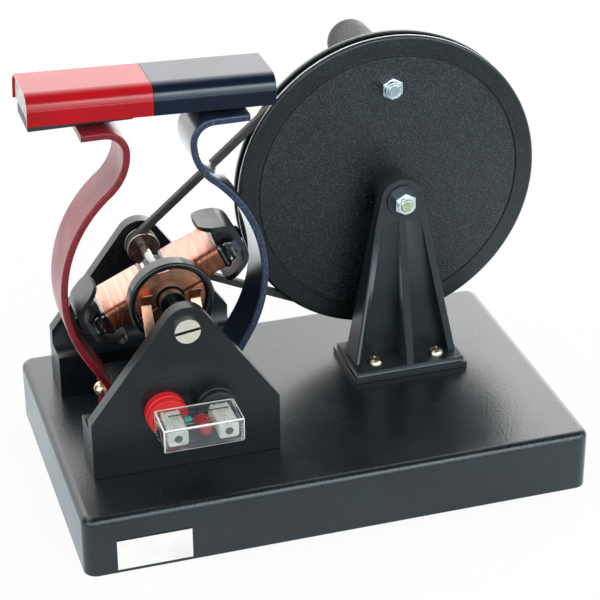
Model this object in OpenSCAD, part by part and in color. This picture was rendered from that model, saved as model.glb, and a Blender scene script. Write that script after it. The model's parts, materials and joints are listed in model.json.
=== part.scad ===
// Hand-driven demonstration dynamo: a cranked drive wheel turns a wound two-pole
// armature by a belt, between two pole strips that carry a bar magnet.
// Design coordinates: x runs right along the base, y runs back, z runs up, with zero at
// the base's front left bottom corner. The part frame moves that to the bottom centre of
// the whole object's box.

/* [Base] */
// length of the base along x
base_l = 200; // [190:1:230]
// depth of the base along y
base_w = 125; // [118:1:140]
// height of the base
base_h = 25; // [20:0.5:32]
// radius of the base's upright corners
base_r = 5; // [4:0.5:10]
// radius of the base's top edge
base_edge = 3; // [1:0.5:4]
// wall of the hollow base, open underneath
base_wall = 3.5; // [3:0.25:5]
// length of the blank label on the base's front
label_l = 28.5; // [20:0.5:40]
// height of the blank label
label_h = 12.5; // [8:0.5:16]

/* [Generator frame] */
// distance of the armature axis from the base's left end
axis_x = 47.5; // [45:0.5:52]
// height of the armature axis above the base's top
axis_h = 58; // [55:0.5:62]
// how far the generator's middle plane lies behind the base's middle
mid_shift = 4; // [0:0.5:5]
// half of the distance over the two supports
frame_half = 40; // [39:0.5:43]
// width of a support
support_w = 72.5; // [66:0.5:76]
// how far a support's foot sits to the left of the armature axis
support_left = 1.2; // [0:0.1:3]
// thickness of a support's upright plate
plate_t = 5.5; // [4.5:0.25:6.5]
// depth of a support's foot, plate included
foot_d = 18; // [16:0.5:20]
// height of a support's foot
foot_h = 18; // [14:0.5:20]
// height of the plate's straight sides above the base
shoulder_h = 23.5; // [20:0.5:28]
// radius of the plate's rounded top
apex_r = 9; // [8:0.25:12]
// diameter of the slotted bearing screw's head
bearing_head_d = 9.8; // [8:0.2:12]

/* [Armature] */
// how far the armature's middle lies behind the generator's middle plane
arm_shift = 2.5; // [0:0.5:5]
// tilt of the armature arm as it stands
arm_tilt = 25; // [0:1:60]
// diameter of the armature shaft
shaft_d = 4; // [3.5:0.1:4.5]
// width of the iron arm along the shaft
arm_w = 18; // [16:0.5:19]
// thickness of the iron arm
arm_t = 5.5; // [5:0.25:6.5]
// reach of a pole shoe's outer face from the axis
shoe_reach = 34.5; // [33:0.25:35]
// height of a pole shoe's flat middle
shoe_flat = 7; // [6.5:0.25:8]
// outer bend radius of a pole shoe
shoe_r = 7.5; // [6:0.25:9]
// sheet thickness of a pole shoe
shoe_t = 2; // [1.5:0.1:2.5]
// width of a pole shoe along the shaft
shoe_w = 17; // [15:0.5:18]
// straight length of a pole shoe's tongue
tongue_l = 8.5; // [6:0.25:10]
// diameter of the winding's wire
wire_d = 0.6; // [0.5:0.02:0.62]
// loops of wire in the outer layer of each coil
coil_loops = 14; // [8:1:14]
// diameter of the commutator cup
cup_d = 33; // [31:0.5:35]
// diameter of the small pulley's flanges
pulley_d = 13; // [12.6:0.1:14]

/* [Poles and magnet] */
// sheet thickness of a pole strip
strip_t = 2.7; // [2.2:0.1:3]
// width of a pole strip
strip_w = 20; // [16:0.5:22]
// bend radius of the strip's long bow, at mid thickness
bow_r = 53.2; // [52:0.2:56]
// bend radius of the strip's neck, at mid thickness
neck_r = 20.2; // [18:0.2:23]
// bend radius under the strip's tab, at mid thickness
tab_r = 8; // [6:0.25:9]
// straight length of the left strip's tab
tab_l = 8.5; // [7:0.25:12]
// how much longer the right strip's tab is
tab_more = 5; // [0:0.5:6]
// air gap between the turning shoe and a strip, at the closest place
pole_gap = 1.5; // [1:0.1:3]
// length of the bar magnet
magnet_l = 92.5; // [84:0.5:96]
// depth of the bar magnet
magnet_w = 30; // [24:0.5:32]
// height of the bar magnet
magnet_h = 11.2; // [9:0.2:13]
// how far the loose magnet sits behind the strips' middle
magnet_shift = 9; // [0:0.5:9]
// how far the loose magnet sits to the left of the armature axis
magnet_left = 1.1; // [0:0.1:3]
// how far the loose magnet leans down to the right, in degrees
magnet_lean = 2; // [0:0.25:3]
// thickness of the wedge pads under the magnet's middle
pad_t = 2.4; // [2.2:0.1:3.2]

/* [Drive wheel] */
// diameter of the drive wheel
wheel_d = 125; // [112:1:128]
// thickness of the drive wheel
wheel_t = 8; // [7:0.25:8.5]
// distance of the wheel axis from the base's right end
wheel_inset = 51.4; // [45:0.2:54]
// gap between the wheel and the base
wheel_gap = 9.5; // [7:0.5:14]
// side of the square rubber belt
belt_d = 3; // [2.4:0.1:3.2]
// depth of the belt's outer face below the wheel's rim
belt_sink = 1.5; // [0.5:0.25:4]
// distance of the crank handle from the wheel axis
crank_r = 42; // [34:0.5:44]
// diameter of the crank handle
grip_d = 18.6; // [16:0.2:20]
// length of the crank handle
grip_l = 45; // [38:0.5:52]
// width of the wheel support's foot
stand_w = 48; // [44:0.5:54]
// radius of the wheel support's rounded top
stand_apex_r = 9; // [8:0.25:10.5]

/* [Indicator] */
// distance between the two sockets
socket_pitch = 19; // [18.5:0.25:20]
// height of the sockets above the base's top
socket_h = 25.5; // [24:0.25:28]
// diameter of a socket's collar
socket_d = 15; // [13:0.2:16]
// length of a socket in front of the support
socket_l = 6.5; // [5:0.25:8]
// diameter of a plug pin
pin_d = 4; // [3.8:0.1:4]
// depth of the clear case along y
case_w = 15.5; // [14:0.25:16.5]
// height of the clear case
case_h = 9.6; // [9:0.1:12]

/* [Hidden] */
$fn = 64;

// clearances
fit_gap = 0.05;
hole_gap = 0.1;
run_gap = 0.3;
side_gap = 1;
eps = 0.02;

// a thinner stretch of a bent piece runs this far into its full neighbours
let_l = 0.5;

// generator frame
mid_y = base_w / 2 + mid_shift;
axis_z = base_h + axis_h;
front_y = mid_y - frame_half;
back_y = mid_y + frame_half;
front_in = front_y + plate_t;
back_in = back_y - plate_t;
foot_screw_x = 0.34 * support_w;
screw_d = 3;
screw_head_d = 6.4;
screw_head_h = 2.4;
screw_bite = 9;
screw_tip = 4;
bearing_d = 7;
bearing_nose = 4;

// pulley and belt plane
groove_side = belt_d + 2 * run_gap;
pulley_w = groove_side + 2.4;
pulley_y = back_in - side_gap - pulley_w / 2;
pulley_groove_r = shaft_d / 2 + 1;
belt_r1 = pulley_groove_r + run_gap + belt_d / 2;

// wheel
wheel_x = base_l - wheel_inset;
wheel_z = base_h + wheel_gap + wheel_d / 2;
wheel_y = pulley_y - wheel_t / 2;
belt_r2 = wheel_d / 2 - belt_sink - belt_d / 2;
wheel_groove_r = belt_r2 - belt_d / 2 - run_gap;
belt_dx = wheel_x - axis_x;
belt_dz = wheel_z - axis_z;
belt_span = norm([belt_dx, belt_dz]);
belt_lean = atan2(belt_dz, belt_dx);
belt_turn = acos((belt_r1 - belt_r2) / belt_span);

// wheel stand and axle
axle_d = 7;
bolt_d = 5;
nut_flats = 8;
nut_t = 5;
collar_d = 7;
collar_l = 1.6;
bolt_proud = 0.3;
boss_d = 13;
boss_t = 0.8;
washer_t = 1;
hub_d = 15;
hub_l = 9.9;
hub_y = wheel_y - hub_l;
washer_y = hub_y - run_gap - washer_t;
stand_t = 5;
stand_y = washer_y - eps - stand_t;
stand_front = 15;
stand_back = 8.7;
stand_foot_h = 4.5;
stand_step = 1.2;
stand_screw_x = 13;
stand_screw_y = stand_y - 7.3;
rib_t = 3;
grip_gap = 1;
grip_y = wheel_y + wheel_t + grip_gap;

// armature
arm_y = mid_y + arm_shift;
hub_core_d = arm_t + 3;
hub_core_w = arm_w + 4;
shoe_turn = 65;
tongue_r = 6.5;
arm_end = shoe_reach - shoe_t - fit_gap;
rivet_head = 1.2;
rivet_head_d = 6;
rivet_top_d = 4;
sweep_r = shoe_reach + rivet_head;
flange_t = 1;
flange_in = hub_core_d / 2 + 0.25;
flange_out = arm_end - 7.3;
flange_lip = 0.9;
coil_from = flange_in + flange_t;
coil_to = flange_out;
core_y = arm_w / 2 + 1.8;
core_z = arm_t / 2 + 1.8;
core_r = 2.5;

// commutator
cup_ahead = 19;
cup_front = mid_y - cup_ahead;
cup_t = 6;
cup_wall = 2.5;
cup_floor = 2;
cup_hub_d = 10;
segment_t = 0.8;
segment_y = cup_front + cup_t - cup_floor - segment_t;
brush_x = socket_pitch / 2;
brush_t = 0.5;
brush_w = 4;
eye_d = 9.4;

// pole strips, measured from the armature axis
bow_rise = 2.5;
bow_c = sqrt(pow(bow_r - strip_t / 2 - sweep_r - pole_gap, 2) - pow(bow_rise, 2));
bow_up = 50;
bow_down = 30;
foot_run = 14.2;
foot_bend = 6;
foot_drop = 16;
screw_drop = 4;
pole_head_h = 3.2;
strip_y = mid_y - strip_w / 2;
bow_top = [bow_c - bow_r * cos(bow_up), bow_rise + bow_r * sin(bow_up)];
neck_c = bow_top + neck_r * [-sin(90 - bow_up), cos(90 - bow_up)];
tab_c = [neck_c[0] + neck_r - tab_r, neck_c[1]];
tab_top = axis_z + tab_c[1] + tab_r + strip_t / 2;
foot_dir = [sin(bow_down), -cos(bow_down)];
foot_out = [-cos(bow_down), -sin(bow_down)];
foot_start = [bow_c, bow_rise] + bow_r * foot_out;
bend_c = foot_start + foot_run * foot_dir + foot_bend * foot_out;
foot_top = bend_c + [foot_bend, 0];
pole_bite = 5.3;
block_gap = 1.8;
block_top = axis_z - sweep_r - block_gap;
block_w = strip_w - 3;

// magnet
magnet_y = mid_y + magnet_shift;
magnet_z = tab_top + pad_t;
cover_t = 1;
cover_r = 6;
end_recess = 1;
pad_w = magnet_w - 10;
pad_spans = [[-0.49, -0.07] * magnet_l, [0.07, 0.4] * magnet_l];

// indicator
socket_z = base_h + socket_h;
rim_l = 3.5;
rim_lip = 0.3;
tube_d = 5.6;
tube_nut_t = 3.5;
stem_d = 8;
tube_back = front_in + 6.5;
case_wall = 1.3;
case_y = front_y - socket_l - side_gap / 4 - case_w;
plug_w = 7.6;
plug_side = 0.6;
case_l = socket_pitch + plug_w + 2 * case_wall + 2 * plug_side;
plug_h = case_h - 2 * case_wall - 2 * hole_gap;
plug_y = case_y + case_wall + hole_gap;
plug_l = case_w - case_wall - 2 * hole_gap;
lead_d = 0.7;
lead_y = plug_y + 10.6;
led_d = 5;
led_x = 1.6;

// the box of the whole object, for the part frame
label_t = 0.3;
label_x = 12;
label_z = 0.2 * (base_h - base_edge - label_h);
box_x = max(base_l, wheel_x + wheel_d / 2);
box_y0 = -label_t;
box_y1 = max(base_w, grip_y + grip_l);

module placed() {
    translate([-box_x / 2, -(box_y0 + box_y1) / 2, 0])
        children();
}

// a profile drawn in x and z, drawn out along y from y0
module slab_y(y0, t) {
    translate([0, y0 + t, 0])
        rotate([90, 0, 0])
            linear_extrude(t)
                children();
}

// a profile drawn in y and z, drawn out along x from x0
module slab_x(x0, t) {
    translate([x0, 0, 0])
        rotate([90, 0, 90])
            linear_extrude(t)
                children();
}

// a round bar along y
module rod_y(p, d, l) {
    translate(p)
        rotate([-90, 0, 0])
            cylinder(d = d, h = l);
}

// a hexagon bar along y
module hex_y(p, flats, l) {
    translate(p)
        rotate([-90, 0, 0])
            rotate(30)
                cylinder(d = flats / cos(30), h = l, $fn = 6);
}

// a body of revolution about an axis along y, from a profile of radius and y
module turned_y(p) {
    translate(p)
        rotate([-90, 0, 0])
            rotate_extrude()
                children();
}

module rounded_rect(l, w, r) {
    translate([r, 0])
        square([l - 2 * r, w]);
    translate([0, r])
        square([l, w - 2 * r]);
    for (x = [r, l - r], y = [r, w - r])
        translate([x, y])
            circle(r);
}

// a block with its two upper edges rounded, as a profile
module round_top(l, h, r) {
    square([l, h - r]);
    translate([r, 0])
        square([l - 2 * r, h]);
    intersection() {
        square([l, h]);
        for (x = [r, l - r])
            translate([x, h - r])
                circle(r);
    }
}

// a plate with straight sides, then slopes that run into a rounded top
function slope_angle(p, r) = atan2(p[1], p[0]) + acos(r / norm(p));

module gable(w, z0, z_side, z_top, r, left = 0) {
    rise = z_side - z_top;
    x0 = w / 2 + left;
    x1 = w / 2 - left;
    a0 = slope_angle([x0, rise], r - eps);
    a1 = slope_angle([x1, rise], r - eps);
    translate([0, z_top])
        polygon([
            [-x0, z0 - z_top], [x1, z0 - z_top], [x1, rise], (r - eps) * [cos(a1), sin(a1)],
            (r - eps) * [-cos(a0), sin(a0)], [-x0, rise]
        ]);
    translate([0, z_top])
        circle(r);
}

// a thin sheet bent along a list of points, as a profile
function unit(v) = v / norm(v);
function side_of(v) = [-v[1], v[0]];
function miter(p, i) =
    let (
        n = len(p) - 1,
        a = side_of(unit(p[max(i, 1)] - p[max(i, 1) - 1])),
        b = side_of(unit(p[min(i + 1, n)] - p[min(i + 1, n) - 1]))
    )
    (a + b) / (1 + a * b);

module bent_sheet(p, t) {
    n = len(p) - 1;
    polygon(concat(
        [for (i = [0:n]) p[i] + miter(p, i) * t / 2],
        [for (i = [n:-1:0]) p[i] - miter(p, i) * t / 2]
    ));
}

// a part of a flat ring between two angles
module ring_part(r, t, a0, a1) {
    reach = 3 * r;
    intersection() {
        difference() {
            circle(r + t / 2, $fn = 96);
            circle(r - t / 2, $fn = 96);
        }
        polygon([
            [0, 0],
            reach * [cos(a0), sin(a0)],
            reach * [cos((a0 + a1) / 2), sin((a0 + a1) / 2)],
            reach * [cos(a1), sin(a1)]
        ]);
    }
}

// a pan head screw with a cross recess, its head's seat at zero and its shank downwards
module pan_screw(d, l, head_d, head_h) {
    difference() {
        union() {
            translate([0, 0, -l])
                cylinder(d = d, h = l + head_h / 2);
            cylinder(d = head_d, h = 0.45 * head_h);
            translate([0, 0, 0.45 * head_h])
                cylinder(d1 = head_d, d2 = 0.55 * head_d, h = 0.55 * head_h);
        }
        for (a = [0, 90])
            rotate(a)
                translate([-0.26 * head_d, -0.06 * head_d, 0.5 * head_h])
                    cube([0.52 * head_d, 0.12 * head_d, head_h]);
    }
}

// Base

foot_mid = foot_d - (foot_d - plate_t) / 2;
foot_spots = [
    for (y = [front_y + foot_mid, back_y - foot_mid], s = [-1, 1])
        [axis_x + s * foot_screw_x, y]
];
block_spots = [for (s = [-1, 1]) [axis_x, mid_y + s * block_w / 4]];
stand_spots = [for (s = [-1, 1]) [wheel_x + s * stand_screw_x, stand_screw_y]];

module base() {
    color("#1d1f21")
        difference() {
            intersection() {
                linear_extrude(base_h)
                    rounded_rect(base_l, base_w, base_r);
                slab_y(0, base_w)
                    round_top(base_l, base_h, base_edge);
                slab_x(0, base_l)
                    round_top(base_w, base_h, base_edge);
            }
            translate([base_wall, base_wall, -1])
                linear_extrude(base_h - base_wall + 1)
                    rounded_rect(base_l - 2 * base_wall, base_w - 2 * base_wall,
                        base_r - base_wall / 2);
            for (p = concat(foot_spots, block_spots, stand_spots))
                translate([p[0], p[1], 0])
                    cylinder(d = screw_d + 2 * hole_gap, h = base_h + 1);
        }
}

module label() {
    color("#f2f2ef")
        translate([label_x, -label_t, label_z])
            cube([label_l, label_t, label_h]);
}

module foot_screws() {
    color("#b9bcbd")
        for (p = concat(foot_spots, block_spots))
            translate([p[0], p[1], base_h - base_wall])
                mirror([0, 0, 1])
                    pan_screw(screw_d, base_wall + screw_bite, screw_head_d, screw_head_h);
}

// Generator frame

module support(y_plate, y_foot) {
    slab_y(y_plate, plate_t)
        translate([axis_x, 0])
            gable(support_w, base_h, base_h + shoulder_h, axis_z, apex_r, support_left);
    translate([axis_x - support_left - support_w / 2, y_foot, base_h])
        cube([support_w, foot_d, foot_h]);
}

module support_holes(y_plate) {
    rod_y([axis_x, y_plate - 1, axis_z], bearing_d + 2 * hole_gap, plate_t + 2);
    for (p = foot_spots)
        translate([p[0], p[1], base_h - 1])
            cylinder(d = screw_d + 2 * hole_gap, h = screw_bite + 2);
}

module front_support() {
    color("#232527")
        difference() {
            support(front_y, front_y);
            support_holes(front_y);
            for (s = [-1, 1])
                rod_y([axis_x + s * socket_pitch / 2, front_y - 1, socket_z],
                    stem_d + 2 * hole_gap, plate_t + 2);
        }
}

module rear_support() {
    color("#232527")
        difference() {
            support(back_in, back_y - foot_d);
            support_holes(back_in);
        }
}

// a slotted screw whose nose is the shaft's bearing, drawn with its head at y below zero
module bearing_screw(nose) {
    bore_l = nose + 4;
    difference() {
        union() {
            rod_y([0, -1.8, 0], bearing_head_d, 1.8);
            rod_y([0, -0.5, 0], bearing_d, plate_t + nose + 0.5);
        }
        rod_y([0, plate_t + nose - bore_l, 0], shaft_d + 2 * fit_gap, bore_l + 1);
        rotate([0, -8, 0])
            translate([-bearing_head_d, -2.8, -0.6])
                cube([2 * bearing_head_d, 2.3, 1.2]);
    }
}

module front_bearing() {
    color("#c8c6bd")
        translate([axis_x, front_y, axis_z])
            bearing_screw(bearing_nose);
}

module rear_bearing() {
    color("#c8c6bd")
        translate([axis_x, back_y, axis_z])
            mirror([0, 1, 0])
                bearing_screw(0);
}

// Pole strips

// the angle that an arc of a length takes at a radius
function turn_of(l, r) = l / r * 180 / PI;

module strip_profile(tab) {
    thin_t = strip_t - 2 * fit_gap;
    bow_let = turn_of(let_l, bow_r);
    tab_let = turn_of(let_l, tab_r);
    bend_let = turn_of(let_l, foot_bend);
    translate([bow_c, bow_rise])
        ring_part(bow_r, thin_t, 180 - bow_up - bow_let, 180 + bow_down + bow_let);
    translate(neck_c)
        ring_part(neck_r, strip_t, -bow_up, 0);
    translate(tab_c)
        ring_part(tab_r, thin_t, -tab_let, 90 + tab_let);
    translate([tab_c[0] - tab, tab_c[1] + tab_r - strip_t / 2])
        square([tab, strip_t]);
    polygon([
        for (c = [[0, 1], [foot_run, 1], [foot_run, -1], [0, -1]])
            foot_start + c[0] * foot_dir + c[1] * foot_out * strip_t / 2
    ]);
    translate(bend_c)
        ring_part(foot_bend, thin_t, -bend_let, bow_down + bend_let);
    translate(foot_top - [strip_t / 2, foot_drop])
        square([strip_t, foot_drop]);
}

// places a thing on the outer face of a strip's foot, with its own z pointing outwards
module on_strip_foot() {
    translate([foot_top[0] - strip_t / 2, mid_y, foot_top[1] - screw_drop])
        rotate([0, -90, 0])
            children();
}

module left_side() {
    translate([axis_x, 0, axis_z])
        children();
}

module right_side() {
    translate([axis_x, 0, axis_z])
        mirror([1, 0, 0])
            children();
}

module pole_strip(tab) {
    difference() {
        slab_y(strip_y, strip_w)
            strip_profile(tab);
        on_strip_foot()
            translate([0, 0, -2 * strip_t])
                cylinder(d = screw_d + 2 * hole_gap, h = 3 * strip_t);
    }
}

module pole_strip_red() {
    color("#a3202b")
        left_side()
            pole_strip(tab_l);
}

module pole_strip_blue() {
    color("#1c2c4c")
        right_side()
            pole_strip(tab_l + tab_more);
}

module pole_block() {
    half = -foot_top[0] - strip_t / 2;
    color("#26282a")
        difference() {
            translate([axis_x - half, mid_y - block_w / 2, base_h])
                cube([2 * half, block_w, block_top - base_h]);
            for (p = block_spots)
                translate([p[0], p[1], base_h - 1])
                    cylinder(d = screw_d + 2 * hole_gap, h = screw_bite + 2);
            left_side()
                on_strip_foot()
                    translate([0, 0, -strip_t - pole_bite - 1])
                        cylinder(d = screw_d + 2 * hole_gap, h = strip_t + pole_bite + 2);
            right_side()
                on_strip_foot()
                    translate([0, 0, -strip_t - pole_bite - 1])
                        cylinder(d = screw_d + 2 * hole_gap, h = strip_t + pole_bite + 2);
        }
}

module pole_screws() {
    color("#c4bda8") {
        left_side()
            on_strip_foot()
                pan_screw(screw_d, strip_t + pole_bite, screw_head_d, pole_head_h);
        right_side()
            on_strip_foot()
                pan_screw(screw_d, strip_t + pole_bite, screw_head_d, pole_head_h);
    }
}

// Brushes and sockets

brush_path = [
    [front_in + brush_t / 2, socket_z - 6],
    [front_in + brush_t / 2, socket_z + 7],
    [cup_front - 1, axis_z - cup_d / 4],
    [segment_y - run_gap - brush_t / 2, axis_z - 1],
    [segment_y - run_gap - brush_t / 2, axis_z + 0.5],
    [segment_y - run_gap - 2.6, axis_z + 4.5]
];

module brush(side) {
    x = axis_x + side * brush_x;
    color("#b5704c")
        difference() {
            union() {
                slab_x(x - brush_w / 2, brush_w)
                    bent_sheet(brush_path, brush_t);
                rod_y([x, front_in, socket_z], eye_d, brush_t);
            }
            rod_y([x, front_in - 1, socket_z], tube_d + 2 * hole_gap, 3);
        }
}

module brush_left() {
    brush(-1);
}

module brush_right() {
    brush(1);
}

// an insulated socket around a metal tube
module socket() {
    difference() {
        union() {
            rod_y([0, -socket_l, 0], socket_d, socket_l);
            rod_y([0, -rim_l, 0], socket_d + 2 * rim_lip, rim_l);
            rod_y([0, -1, 0], stem_d, plate_t + 1 - hole_gap);
        }
        rod_y([0, -socket_l - 1, 0], tube_d + 2 * fit_gap, socket_l + plate_t + 2);
    }
}

module socket_red() {
    color("#d3202a")
        translate([axis_x - socket_pitch / 2, front_y, socket_z])
            socket();
}

module socket_black() {
    color("#18191b")
        translate([axis_x + socket_pitch / 2, front_y, socket_z])
            socket();
}

module socket_tubes() {
    y0 = front_y - socket_l + 0.3;
    color("#b9a36a")
        for (s = [-1, 1])
            difference() {
                rod_y([axis_x + s * socket_pitch / 2, y0, socket_z], tube_d, tube_back - y0);
                rod_y([axis_x + s * socket_pitch / 2, y0 - 1, socket_z],
                    pin_d + 2 * fit_gap, tube_back - y0 - 1);
            }
}

module socket_nuts() {
    color("#b9bcbd")
        for (s = [-1, 1])
            difference() {
                hex_y([axis_x + s * socket_pitch / 2, front_in + brush_t, socket_z], nut_flats,
                    tube_nut_t);
                rod_y([axis_x + s * socket_pitch / 2, front_in, socket_z],
                    tube_d + 2 * fit_gap, tube_nut_t + 2);
            }
}

// Wheel stand, axle and belt

module stand_wedge(y_foot, y_top) {
    slab_x(wheel_x - stand_w, 2 * stand_w)
        polygon([
            [stand_y + stand_t / 2, base_h + 1], [y_foot, base_h + 1],
            [y_foot, base_h + stand_foot_h], [y_top, wheel_z - 6],
            [stand_y + stand_t / 2, wheel_z - 6]
        ]);
}

module stand_outline(inset) {
    translate([wheel_x, 0])
        gable(stand_w - 5 - 2 * inset, base_h + 1, base_h + stand_foot_h, wheel_z,
            stand_apex_r - inset);
}

module wheel_stand() {
    foot_y = stand_y - stand_front;
    foot_w = stand_front + stand_t + stand_back;
    color("#232527")
        difference() {
            union() {
                translate([wheel_x - stand_w / 2, foot_y, base_h])
                    cube([stand_w, foot_w, 0.55 * stand_foot_h]);
                translate([wheel_x - stand_w / 2 + stand_step, foot_y + stand_step, base_h])
                    cube([stand_w - 2 * stand_step, foot_w - 2 * stand_step, stand_foot_h]);
                slab_y(stand_y, stand_t)
                    stand_outline(0);
                rod_y([wheel_x, stand_y - boss_t, wheel_z], boss_d, boss_t + 1);
                intersection() {
                    stand_wedge(stand_y - 7.5, stand_y + 0.5);
                    slab_y(foot_y, foot_w)
                        difference() {
                            stand_outline(0);
                            stand_outline(rib_t);
                        }
                }
                intersection() {
                    stand_wedge(foot_y + stand_step, stand_y + 0.5);
                    translate([wheel_x - rib_t / 2, foot_y, base_h])
                        cube([rib_t, foot_w, wheel_d]);
                }
                intersection() {
                    stand_wedge(stand_y + stand_t + 5.5, stand_y + stand_t - 0.5);
                    translate([wheel_x - rib_t / 2, foot_y, base_h])
                        cube([rib_t, foot_w, wheel_d]);
                }
            }
            rod_y([wheel_x, foot_y - 1, wheel_z], bolt_d + 2 * hole_gap, foot_w + 2);
            for (p = stand_spots)
                translate([p[0], p[1], base_h - 1])
                    cylinder(d = screw_d + 2 * hole_gap, h = stand_foot_h + 2);
        }
}

module stand_screws() {
    color("#c9b98a")
        for (p = stand_spots)
            translate([p[0], p[1], base_h + stand_foot_h])
                pan_screw(screw_d, stand_foot_h + base_wall + screw_tip, screw_head_d,
                    screw_head_h);
}

module wheel_axle() {
    shoulder_y = stand_y + stand_t;
    head_y = wheel_y + wheel_t + run_gap;
    thread_y = stand_y - boss_t - nut_t - bolt_proud;
    color("#c3c5c6")
        union() {
            rod_y([wheel_x, thread_y, wheel_z], bolt_d, shoulder_y - thread_y + 1);
            rod_y([wheel_x, shoulder_y, wheel_z], axle_d, head_y - shoulder_y + 1);
            rod_y([wheel_x, head_y, wheel_z], 12, 2.5);
        }
}

// a locking nut with a round collar in front of its hexagon, its seat at the back
module nut_y(p) {
    difference() {
        union() {
            hex_y(p + [0, collar_l, 0], nut_flats, nut_t - collar_l);
            rod_y(p, collar_d, nut_t - 1);
        }
        rod_y(p - [0, 1, 0], bolt_d + 2 * fit_gap, nut_t + 2);
    }
}

module axle_nut() {
    color("#c3c5c6")
        nut_y([wheel_x, stand_y - boss_t - nut_t, wheel_z]);
}

module axle_washer() {
    color("#b2b5b6")
        difference() {
            rod_y([wheel_x, washer_y, wheel_z], 12, washer_t);
            rod_y([wheel_x, washer_y - 1, wheel_z], axle_d + 2 * hole_gap, washer_t + 2);
        }
}

// a straight run of the belt, let into the two arcs at its ends
module belt_run(side) {
    a = belt_lean + side * belt_turn;
    n = [cos(a), sin(a)];
    let_in = let_l * [side * n[1], -side * n[0]];
    half = side * (belt_d / 2 - fit_gap);
    far = [belt_dx, belt_dz];
    polygon([
        (belt_r1 + half) * n - let_in, (belt_r1 - half) * n - let_in,
        far + (belt_r2 - half) * n + let_in, far + (belt_r2 + half) * n + let_in
    ]);
}

module drive_belt() {
    up = belt_lean + belt_turn;
    down = belt_lean - belt_turn;
    color("#2b2825")
        translate([axis_x, 0, axis_z])
            slab_y(pulley_y - belt_d / 2, belt_d) {
                ring_part(belt_r1, belt_d, up, down + 360);
                translate([belt_dx, belt_dz])
                    ring_part(belt_r2, belt_d, down, up);
                belt_run(1);
                belt_run(-1);
            }
}

// Armature: its own x runs along the arm and its own y along the shaft

module on_arm() {
    translate([axis_x, arm_y, axis_z])
        rotate([0, -arm_tilt, 0])
            children();
}

module both_ends() {
    for (a = [0, 180])
        rotate([0, a, 0])
            children();
}

module shaft() {
    y0 = front_in - 3.4;
    y1 = back_in + 3.4;
    color("#8d8c88")
        rod_y([axis_x, y0, axis_z], shaft_d, y1 - y0);
}

module armature_core() {
    color("#6d7176")
        on_arm()
            difference() {
                union() {
                    translate([-arm_end, -arm_w / 2, -arm_t / 2])
                        cube([2 * arm_end, arm_w, arm_t]);
                    rod_y([0, -hub_core_w / 2, 0], hub_core_d, hub_core_w);
                }
                rod_y([0, -hub_core_w, 0], shaft_d + 2 * fit_gap, 2 * hub_core_w);
                both_ends()
                    translate([arm_end - 5, 0, 0])
                        rotate([0, 90, 0])
                            cylinder(d = screw_d + 2 * fit_gap, h = 10);
            }
}

// One face of a shoe's upper half, from the flat to the tip, at a depth below the outer face
function shoe_face(depth) = concat(
    [for (a = [0:5:shoe_turn]) shoe_bend + (shoe_r - depth) * [cos(a), sin(a)]],
    [shoe_bend + (shoe_r - depth) * [cos(shoe_turn), sin(shoe_turn)]
        + tongue_l * [-sin(shoe_turn), cos(shoe_turn)]]
);
function flipped(points) = [for (i = [len(points) - 1:-1:0]) [points[i][0], -points[i][1]]];
function backwards(points) = [for (i = [len(points) - 1:-1:0]) points[i]];
shoe_bend = [shoe_reach - shoe_r, shoe_flat / 2];
shoe_outer = concat(flipped(shoe_face(0)), shoe_face(0));
shoe_inner = concat(flipped(shoe_face(shoe_t)), shoe_face(shoe_t));
tongue_tip = min([for (p = shoe_inner) p[0]]);

module shoe() {
    difference() {
        intersection() {
            translate([0, shoe_w / 2, 0])
                rotate([90, 0, 0])
                    linear_extrude(shoe_w)
                        polygon(concat(shoe_outer, backwards(shoe_inner)));
            translate([tongue_tip, -shoe_w / 2, -shoe_reach])
                linear_extrude(2 * shoe_reach)
                    rounded_rect(2 * shoe_reach, shoe_w, tongue_r);
        }
        translate([shoe_reach - 2 * shoe_t, 0, 0])
            rotate([0, 90, 0])
                cylinder(d = screw_d + 2 * fit_gap, h = 4 * shoe_t);
    }
}

module pole_shoes() {
    color("#202224")
        on_arm()
            both_ends()
                shoe();
}

module shoe_rivets() {
    color("#2a2c2e")
        on_arm()
            both_ends()
                rotate([0, 90, 0]) {
                    translate([0, 0, arm_end - 4.5])
                        cylinder(d = screw_d, h = shoe_reach - arm_end + 5);
                    translate([0, 0, shoe_reach])
                        cylinder(d1 = rivet_head_d, d2 = rivet_top_d, h = rivet_head);
                }
}

module arm_slot(x0, l) {
    translate([x0 - 1, -arm_w / 2 - hole_gap, -arm_t / 2 - hole_gap])
        cube([l + 2, arm_w + 2 * hole_gap, arm_t + 2 * hole_gap]);
}

module flange(x0) {
    difference() {
        slab_x(x0, flange_t)
            translate([-core_y - flange_lip, -core_z - flange_lip])
                rounded_rect(2 * (core_y + flange_lip), 2 * (core_z + flange_lip),
                    core_r + flange_lip);
        arm_slot(x0, flange_t);
    }
}

module coil_flanges() {
    color("#1b1c1d")
        on_arm()
            both_ends() {
                flange(flange_in);
                flange(flange_out);
            }
}

module winding_cores() {
    color("#a8623f")
        on_arm()
            both_ends()
                difference() {
                    slab_x(coil_from, coil_to - coil_from)
                        translate([-core_y, -core_z])
                            rounded_rect(2 * core_y, 2 * core_z, core_r);
                    arm_slot(coil_from, coil_to - coil_from);
                }
}

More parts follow.
